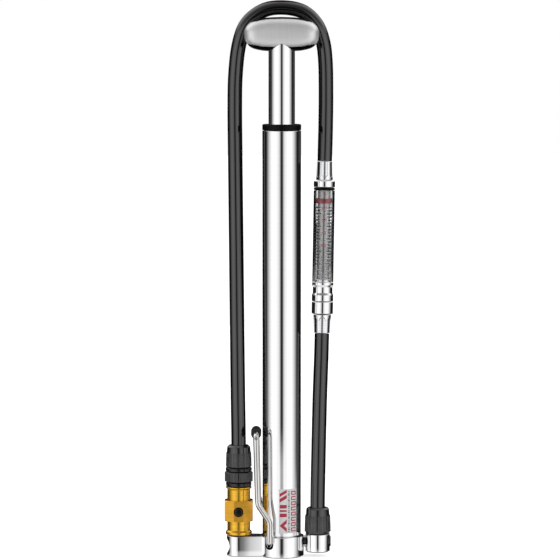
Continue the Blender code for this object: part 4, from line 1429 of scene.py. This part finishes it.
TUBE_R = 6.05 * MM
WALL = 1.1 * MM
TUBE_LOW, TUBE_HIGH = 29.5 * MM, 81.7 * MM
sight_outline = tube(TUBE_R - WALL, TUBE_R, TUBE_LOW, TUBE_HIGH)
gauge_piece("sight_tube", lathe("tube", rounded(sight_outline, 0.1 * MM, 2), 160), clear,
            "clear_plastic", "gauge_tube")
SEAL_R, SEAL_WIRE, SEAL_Z = 5.15 * MM, 0.9 * MM, 82.65 * MM
seal_outline = [
    (SEAL_R + SEAL_WIRE * math.cos(a), SEAL_Z + SEAL_WIRE * math.sin(a))
    for a in [math.pi / 2.0 - TAU * i / 20 for i in range(20)]
]
seal_mesh = lathe("seal", seal_outline, 128, ring=True)
gauge_piece("sight_seal", seal_mesh, seal_black, "seal_rubber", "gauge_seal")
indicator_outline = tube(3.9 * MM, 4.7 * MM, 74.2 * MM, 77.0 * MM)
indicator_mesh = lathe("indicator", rounded(indicator_outline, 0.25 * MM), 96)
gauge_piece("indicator_ring", indicator_mesh, red, "red_plastic", "gauge_indicator", body="indicator")

# %% [markdown]
# Gauge spring
#
# A coil is a helix with a round section, so a small tree makes it from five numbers.

# %% Tree: coil spring
coil_inputs = {
    "Turns": (FLOAT_IN, 12.0),
    "CoilRadius": (FLOAT_IN, 0.0037),
    "WireRadius": (FLOAT_IN, 0.0003),
    "Height": (FLOAT_IN, 0.04),
    "Finish": (MATERIAL_IN, None),
}
coil_tree, cin, cout = geometry_tree("coil_spring", coil_inputs)
helix = node(coil_tree, "GeometryNodeCurveSpiral", {
    "Resolution": 40, "Rotations": cin["Turns"], "Start Radius": cin["CoilRadius"],
    "End Radius": cin["CoilRadius"], "Height": cin["Height"]})
wire = node(coil_tree, "GeometryNodeCurvePrimitiveCircle", {"Resolution": 10, "Radius": cin["WireRadius"]})
coil = node(coil_tree, "GeometryNodeCurveToMesh", {
    "Curve": helix.outputs[0], "Profile Curve": wire.outputs[0], "Fill Caps": True})
painted_real(coil_tree, coil.outputs[0], cin["Finish"], cout)

SPRING_LOW, SPRING_HIGH = 32.0 * MM, 73.6 * MM
empty_mesh = bpy.data.meshes.new("empty")
spring_mesh = grown(empty_mesh, coil_tree, Turns=12.0, CoilRadius=4.3 * MM, WireRadius=0.27 * MM,
                    Height=SPRING_HIGH - SPRING_LOW, Finish=drawn)
spring_mesh.transform(Matrix.Translation((0, 0, SPRING_LOW)))
spring = gauge_piece("gauge_coil", spring_mesh, drawn, "stainless_steel", "gauge_spring")
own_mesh(spring)

# %% [markdown]
# Scale printed on the tube
#
# The print is ink a few hundredths of a millimetre thick: ticks on both sides, plain numbers down the
# middle and a field of fine dots below. Ticks and dots follow a rule, so they come from trees. Numbers
# start as flat text and are then wrapped round the tube. Before the wrap they are sliced into narrow
# strips, because a flat face can't bend.

# %% Tree: ticks up the side of a tube
tick_inputs = {
    "Count": (INT_IN, 19),
    "Low": (FLOAT_IN, 0.04),
    "Pitch": (FLOAT_IN, 0.0017),
    "TubeRadius": (FLOAT_IN, TUBE_R),
    "Start": (FLOAT_IN, -2.6),
    "Sweep": (FLOAT_IN, 0.6),
    "InkRadius": (FLOAT_IN, 0.00016),
    "Finish": (MATERIAL_IN, None),
}
tick_tree, tin, tout = geometry_tree("scale_ticks", tick_inputs)
arc = node(tick_tree, "GeometryNodeCurveArc", {
    "Resolution": 10, "Radius": tin["TubeRadius"],
    "Start Angle": tin["Start"], "Sweep Angle": tin["Sweep"]})
ink = node(tick_tree, "GeometryNodeCurvePrimitiveCircle", {"Resolution": 8, "Radius": tin["InkRadius"]})
tick = node(tick_tree, "GeometryNodeCurveToMesh", {
    "Curve": arc.outputs[0], "Profile Curve": ink.outputs[0], "Fill Caps": True})
rise = math_of(tick_tree, "MULTIPLY_ADD", node(tick_tree, "GeometryNodeInputIndex").outputs[0],
               tin["Pitch"], tin["Low"])
rungs = node(tick_tree, "GeometryNodePoints", {
    "Count": tin["Count"], "Position": vector_of(tick_tree, 0.0, 0.0, rise)})
ladder = node(tick_tree, "GeometryNodeInstanceOnPoints", {
    "Points": rungs.outputs[0], "Instance": tick.outputs[0]})
painted_real(tick_tree, ladder.outputs[0], tin["Finish"], tout)


def joined_mesh(name, meshes):
    """One mesh from several."""
    work = bmesh.new()
    for mesh in meshes:
        work.from_mesh(mesh)
    result = bpy.data.meshes.new(name)
    work.to_mesh(result)
    work.free()
    result.shade_smooth()
    result.set_sharp_from_angle(angle=math.radians(38.0))
    return result


SCALE_LOW, SCALE_PITCH = 39.9 * MM, 1.78 * MM
INK_RING = TUBE_R - 0.12 * MM
TICK_SETS = [  # count, pitch in steps, start angle, sweep
    (19, 1, -2.62, 0.62),
    (19, 1, -1.14, 0.62),
    (5, 4, -2.62, 0.78),
    (5, 4, -1.30, 0.78),
]
ticks = [
    grown(empty_mesh, tick_tree, Count=count, Low=SCALE_LOW, Pitch=SCALE_PITCH * steps,
          TubeRadius=INK_RING, Start=begin, Sweep=sweep_angle, InkRadius=0.25 * MM, Finish=dark_ink)
    for count, steps, begin, sweep_angle in TICK_SETS
]
# The thin dark line down the tube's front is a painted reflection of the dark gap in the room, drawn in the
# ink finish.
reflection_line_ends = [Vector((0, -INK_RING, z * MM)) for z in (33, 81)]
painted_reflection_line = sweep("line", reflection_line_ends, 0.19 * MM, 8)
gauge_piece("scale_ticks_and_painted_line", joined_mesh("ticks", ticks + [painted_reflection_line]), dark_ink, "black_plastic")
print("ticks:", sum(count for count, *_ in TICK_SETS))


# %% Numbers and dots
def wrapped(mesh, radius, slice_width=0.35 * MM):
    """A flat mesh in X and Y, with its thickness along Z, bent round an upright tube's front."""
    work = bmesh.new()
    work.from_mesh(mesh)
    bmesh.ops.remove_doubles(work, verts=work.verts, dist=1e-6)
    low = min(v.co.x for v in work.verts)
    high = max(v.co.x for v in work.verts)
    for i in range(1, math.ceil((high - low) / slice_width)):
        everything = work.verts[:] + work.edges[:] + work.faces[:]
        place = Vector((low + i * slice_width, 0, 0))
        bmesh.ops.bisect_plane(work, geom=everything, plane_co=place, plane_no=(1, 0, 0), dist=1e-7)
    for vert in work.verts:
        angle = vert.co.x / radius
        reach = radius + vert.co.z
        vert.co = (reach * math.sin(angle), -reach * math.cos(angle), vert.co.y)
    bmesh.ops.recalc_face_normals(work, faces=work.faces)
    work.to_mesh(mesh)
    work.free()
    mesh.shade_smooth()
    mesh.set_sharp_from_angle(angle=math.radians(38.0))
    return mesh


def flat_text(text, size, thickness, turn=0.0):
    """A number as a flat solid, centred and turned."""
    curve = bpy.data.curves.new("number", "FONT")
    curve.body = text
    curve.size = size
    curve.extrude = thickness / 2.0
    curve.resolution_u = 4
    curve.align_x = "CENTER"
    curve.align_y = "CENTER"
    obj = bpy.data.objects.new("number", curve)
    bpy.context.scene.collection.objects.link(obj)
    mesh = evaluated_mesh(obj)
    bpy.data.objects.remove(obj)
    mesh.transform(Matrix.Rotation(turn, 4, "Z"))
    return mesh


INK = 0.06 * MM
numbers = []
for value, row in [("2", 18), ("4", 14), ("6", 10), ("8", 6)]:
    digit = flat_text(value, 3.6 * MM, INK, math.pi / 2.0)
    numbers.append(moved(digit, Matrix.Translation((0.2 * MM, SCALE_LOW + row * SCALE_PITCH, 0))))
zero = flat_text("0", 2.6 * MM, INK)
numbers.append(moved(zero, Matrix.Translation((0.3 * MM, 79.2 * MM, 0))))
number_mesh = wrapped(joined_mesh("numbers", numbers), TUBE_R + 0.02 * MM)
gauge_piece("scale_numbers", number_mesh, red_ink, "red_plastic")

dot_inputs = {
    "Columns": (INT_IN, 14),
    "Rows": (INT_IN, 26),
    "Low": (FLOAT_IN, 0.03),
    "Pitch": (FLOAT_IN, 0.0008),
    "TubeRadius": (FLOAT_IN, TUBE_R),
    "Sweep": (FLOAT_IN, 2.4),
    "DotRadius": (FLOAT_IN, 0.00016),
    "Finish": (MATERIAL_IN, None),
}
dot_tree, din, dout = geometry_tree("print_dots", dot_inputs)
number_of = node(dot_tree, "GeometryNodeInputIndex").outputs[0]
column = math_of(dot_tree, "FLOORED_MODULO", number_of, din["Columns"])
row = math_of(dot_tree, "FLOOR", math_of(dot_tree, "DIVIDE", number_of, din["Columns"]))
shift = math_of(dot_tree, "MULTIPLY", math_of(dot_tree, "FLOORED_MODULO", row, 2.0), 0.5)
place = math_of(dot_tree, "DIVIDE", math_of(dot_tree, "ADD", column, shift), din["Columns"])
angle = math_of(dot_tree, "MULTIPLY_ADD", math_of(dot_tree, "SUBTRACT", place, 0.5), din["Sweep"],
                -math.pi / 2.0)
dot_x = math_of(dot_tree, "MULTIPLY", din["TubeRadius"], math_of(dot_tree, "COSINE", angle))
dot_y = math_of(dot_tree, "MULTIPLY", din["TubeRadius"], math_of(dot_tree, "SINE", angle))
dot_z = math_of(dot_tree, "MULTIPLY_ADD", row, din["Pitch"], din["Low"])
spots = node(dot_tree, "GeometryNodePoints", {
    "Count": math_of(dot_tree, "MULTIPLY", din["Columns"], din["Rows"]),
    "Position": vector_of(dot_tree, dot_x, dot_y, dot_z)})
dot = node(dot_tree, "GeometryNodeMeshCylinder", {
    "Vertices": 8, "Radius": din["DotRadius"], "Depth": 0.00006})
outward = node(dot_tree, "GeometryNodeInputPosition").outputs[0]
parts = node(dot_tree, "ShaderNodeSeparateXYZ", {0: outward})
facing = math_of(dot_tree, "ARCTAN2", parts.outputs["Y"], parts.outputs["X"])
field = node(dot_tree, "GeometryNodeInstanceOnPoints", {
    "Points": spots.outputs[0], "Instance": dot.outputs[0],
    "Rotation": vector_of(dot_tree, 0.0, math.pi / 2.0, facing)})
painted_real(dot_tree, field.outputs[0], din["Finish"], dout)
DOT_COLUMNS, DOT_ROWS = 15, 26
dots = grown(empty_mesh, dot_tree, Columns=DOT_COLUMNS, Rows=DOT_ROWS, Low=30.6 * MM, Pitch=0.8 * MM,
             TubeRadius=TUBE_R + 0.02 * MM, Sweep=2.5, DotRadius=0.19 * MM, Finish=dark_ink)
gauge_piece("scale_dots", dots, dark_ink, "black_plastic")
print("dots:", DOT_COLUMNS * DOT_ROWS)

# %% [markdown]
# Label on the barrel
#
# A foil label sits low on the barrel, a little to the right. It carries a plain geometric pattern in red:
# bold blocks, a column of square links, and fine dark dashes. All of it is drawn flat, in millimetres,
# given the thickness of foil and ink, and wrapped round the barrel.

# %% Make the label
LABEL = (-1.6, 9.4, 14.2, 39.6)
left_u, right_u, low_v, high_v = [value * MM for value in LABEL]
panel_outline = [(left_u, low_v), (right_u, low_v), (right_u, high_v), (left_u, high_v)]
panel = wrapped(slab("label", panel_outline, -0.05 * MM, 0.03 * MM), barrel_r)
piece("label_panel", panel, foil, "pump_base", "polished_alloy")


def ink_shape(points, name="ink"):
    """A flat printed shape from corners in millimetres."""
    return slab(name, [(u * MM, v * MM) for u, v in points], 0.0, 0.06 * MM)


def bar(u0, v0, u1, v1):
    """A printed rectangle."""
    return ink_shape([(u0, v0), (u1, v0), (u1, v1), (u0, v1)])


red_shapes = [
    ink_shape([(-1.2, 18.6), (2.9, 14.9), (2.9, 17.2), (1.3, 18.6), (2.9, 20.0), (2.9, 22.3)]),
    bar(-1.1, 23.6, 2.9, 25.6),
    bar(-1.1, 26.6, 2.9, 27.6),
    bar(-1.1, 28.6, 2.9, 30.6),
    ink_shape([(-1.2, 32.0), (2.9, 34.4), (2.9, 36.4), (-1.2, 34.0)]),
    ink_shape([(-1.2, 35.2), (2.9, 37.6), (2.9, 39.3), (-1.2, 37.0)]),
]
LINKS, LINK_PITCH, LINK_TALL, LINE = 8, 3.0, 2.2, 0.55
LINK_LEFT, LINK_RIGHT = 5.6, 8.8
for i in range(LINKS):
    low = 15.2 + LINK_PITCH * i
    high = low + LINK_TALL
    red_shapes += [
        bar(LINK_LEFT, low, LINK_RIGHT, low + LINE),
        bar(LINK_LEFT, high - LINE, LINK_RIGHT, high),
        bar(LINK_LEFT, low + LINE, LINK_LEFT + LINE, high - LINE),
    ]
    if i % 2:
        red_shapes.append(bar(LINK_RIGHT - LINE, low + LINE, LINK_RIGHT, high - LINE))
piece("label_red", wrapped(joined_mesh("label_red", red_shapes), barrel_r), red_ink,
      "pump_base", "red_plastic")
DASHES, DASH_PITCH = 22, 1.1
dashes = []
for i in range(DASHES):
    low = 15.0 + DASH_PITCH * i
    dashes.append(bar(3.7, low, 4.7, low + 0.35 + 0.3 * (i % 3 == 1)))
piece("label_dashes", wrapped(joined_mesh("label_dashes", dashes), barrel_r), dark_ink,
      "pump_base", "black_plastic")
print("label shapes:", len(red_shapes) + len(dashes))

# %% [markdown]
# Inner parts
#
# The parts that stay inside keep their solids from the frame, because those shapes are already right for
# turned metal, moulded seals and small springs. They only need their finishes.

# %% Dress the inner nodes
INNER = {
    "valve_seat": bronze,
    "check_ball": milled,
    "check_spring": drawn,
    "shaft_bush": bronze,
    "shaft_seal": matt_rubber,
    "handle_stud": milled,
    "piston_head": black,
    "piston_seal": matt_rubber,
    "piston_screw": dark_steel,
    "chuck_gasket": matt_rubber,
    "bleed_spring": drawn,
}
for cad_node, coat in INNER.items():
    for material_slot in frame["nodes"][cad_node].material_slots:
        material_slot.material = coat
print("inner parts dressed:", len(INNER))
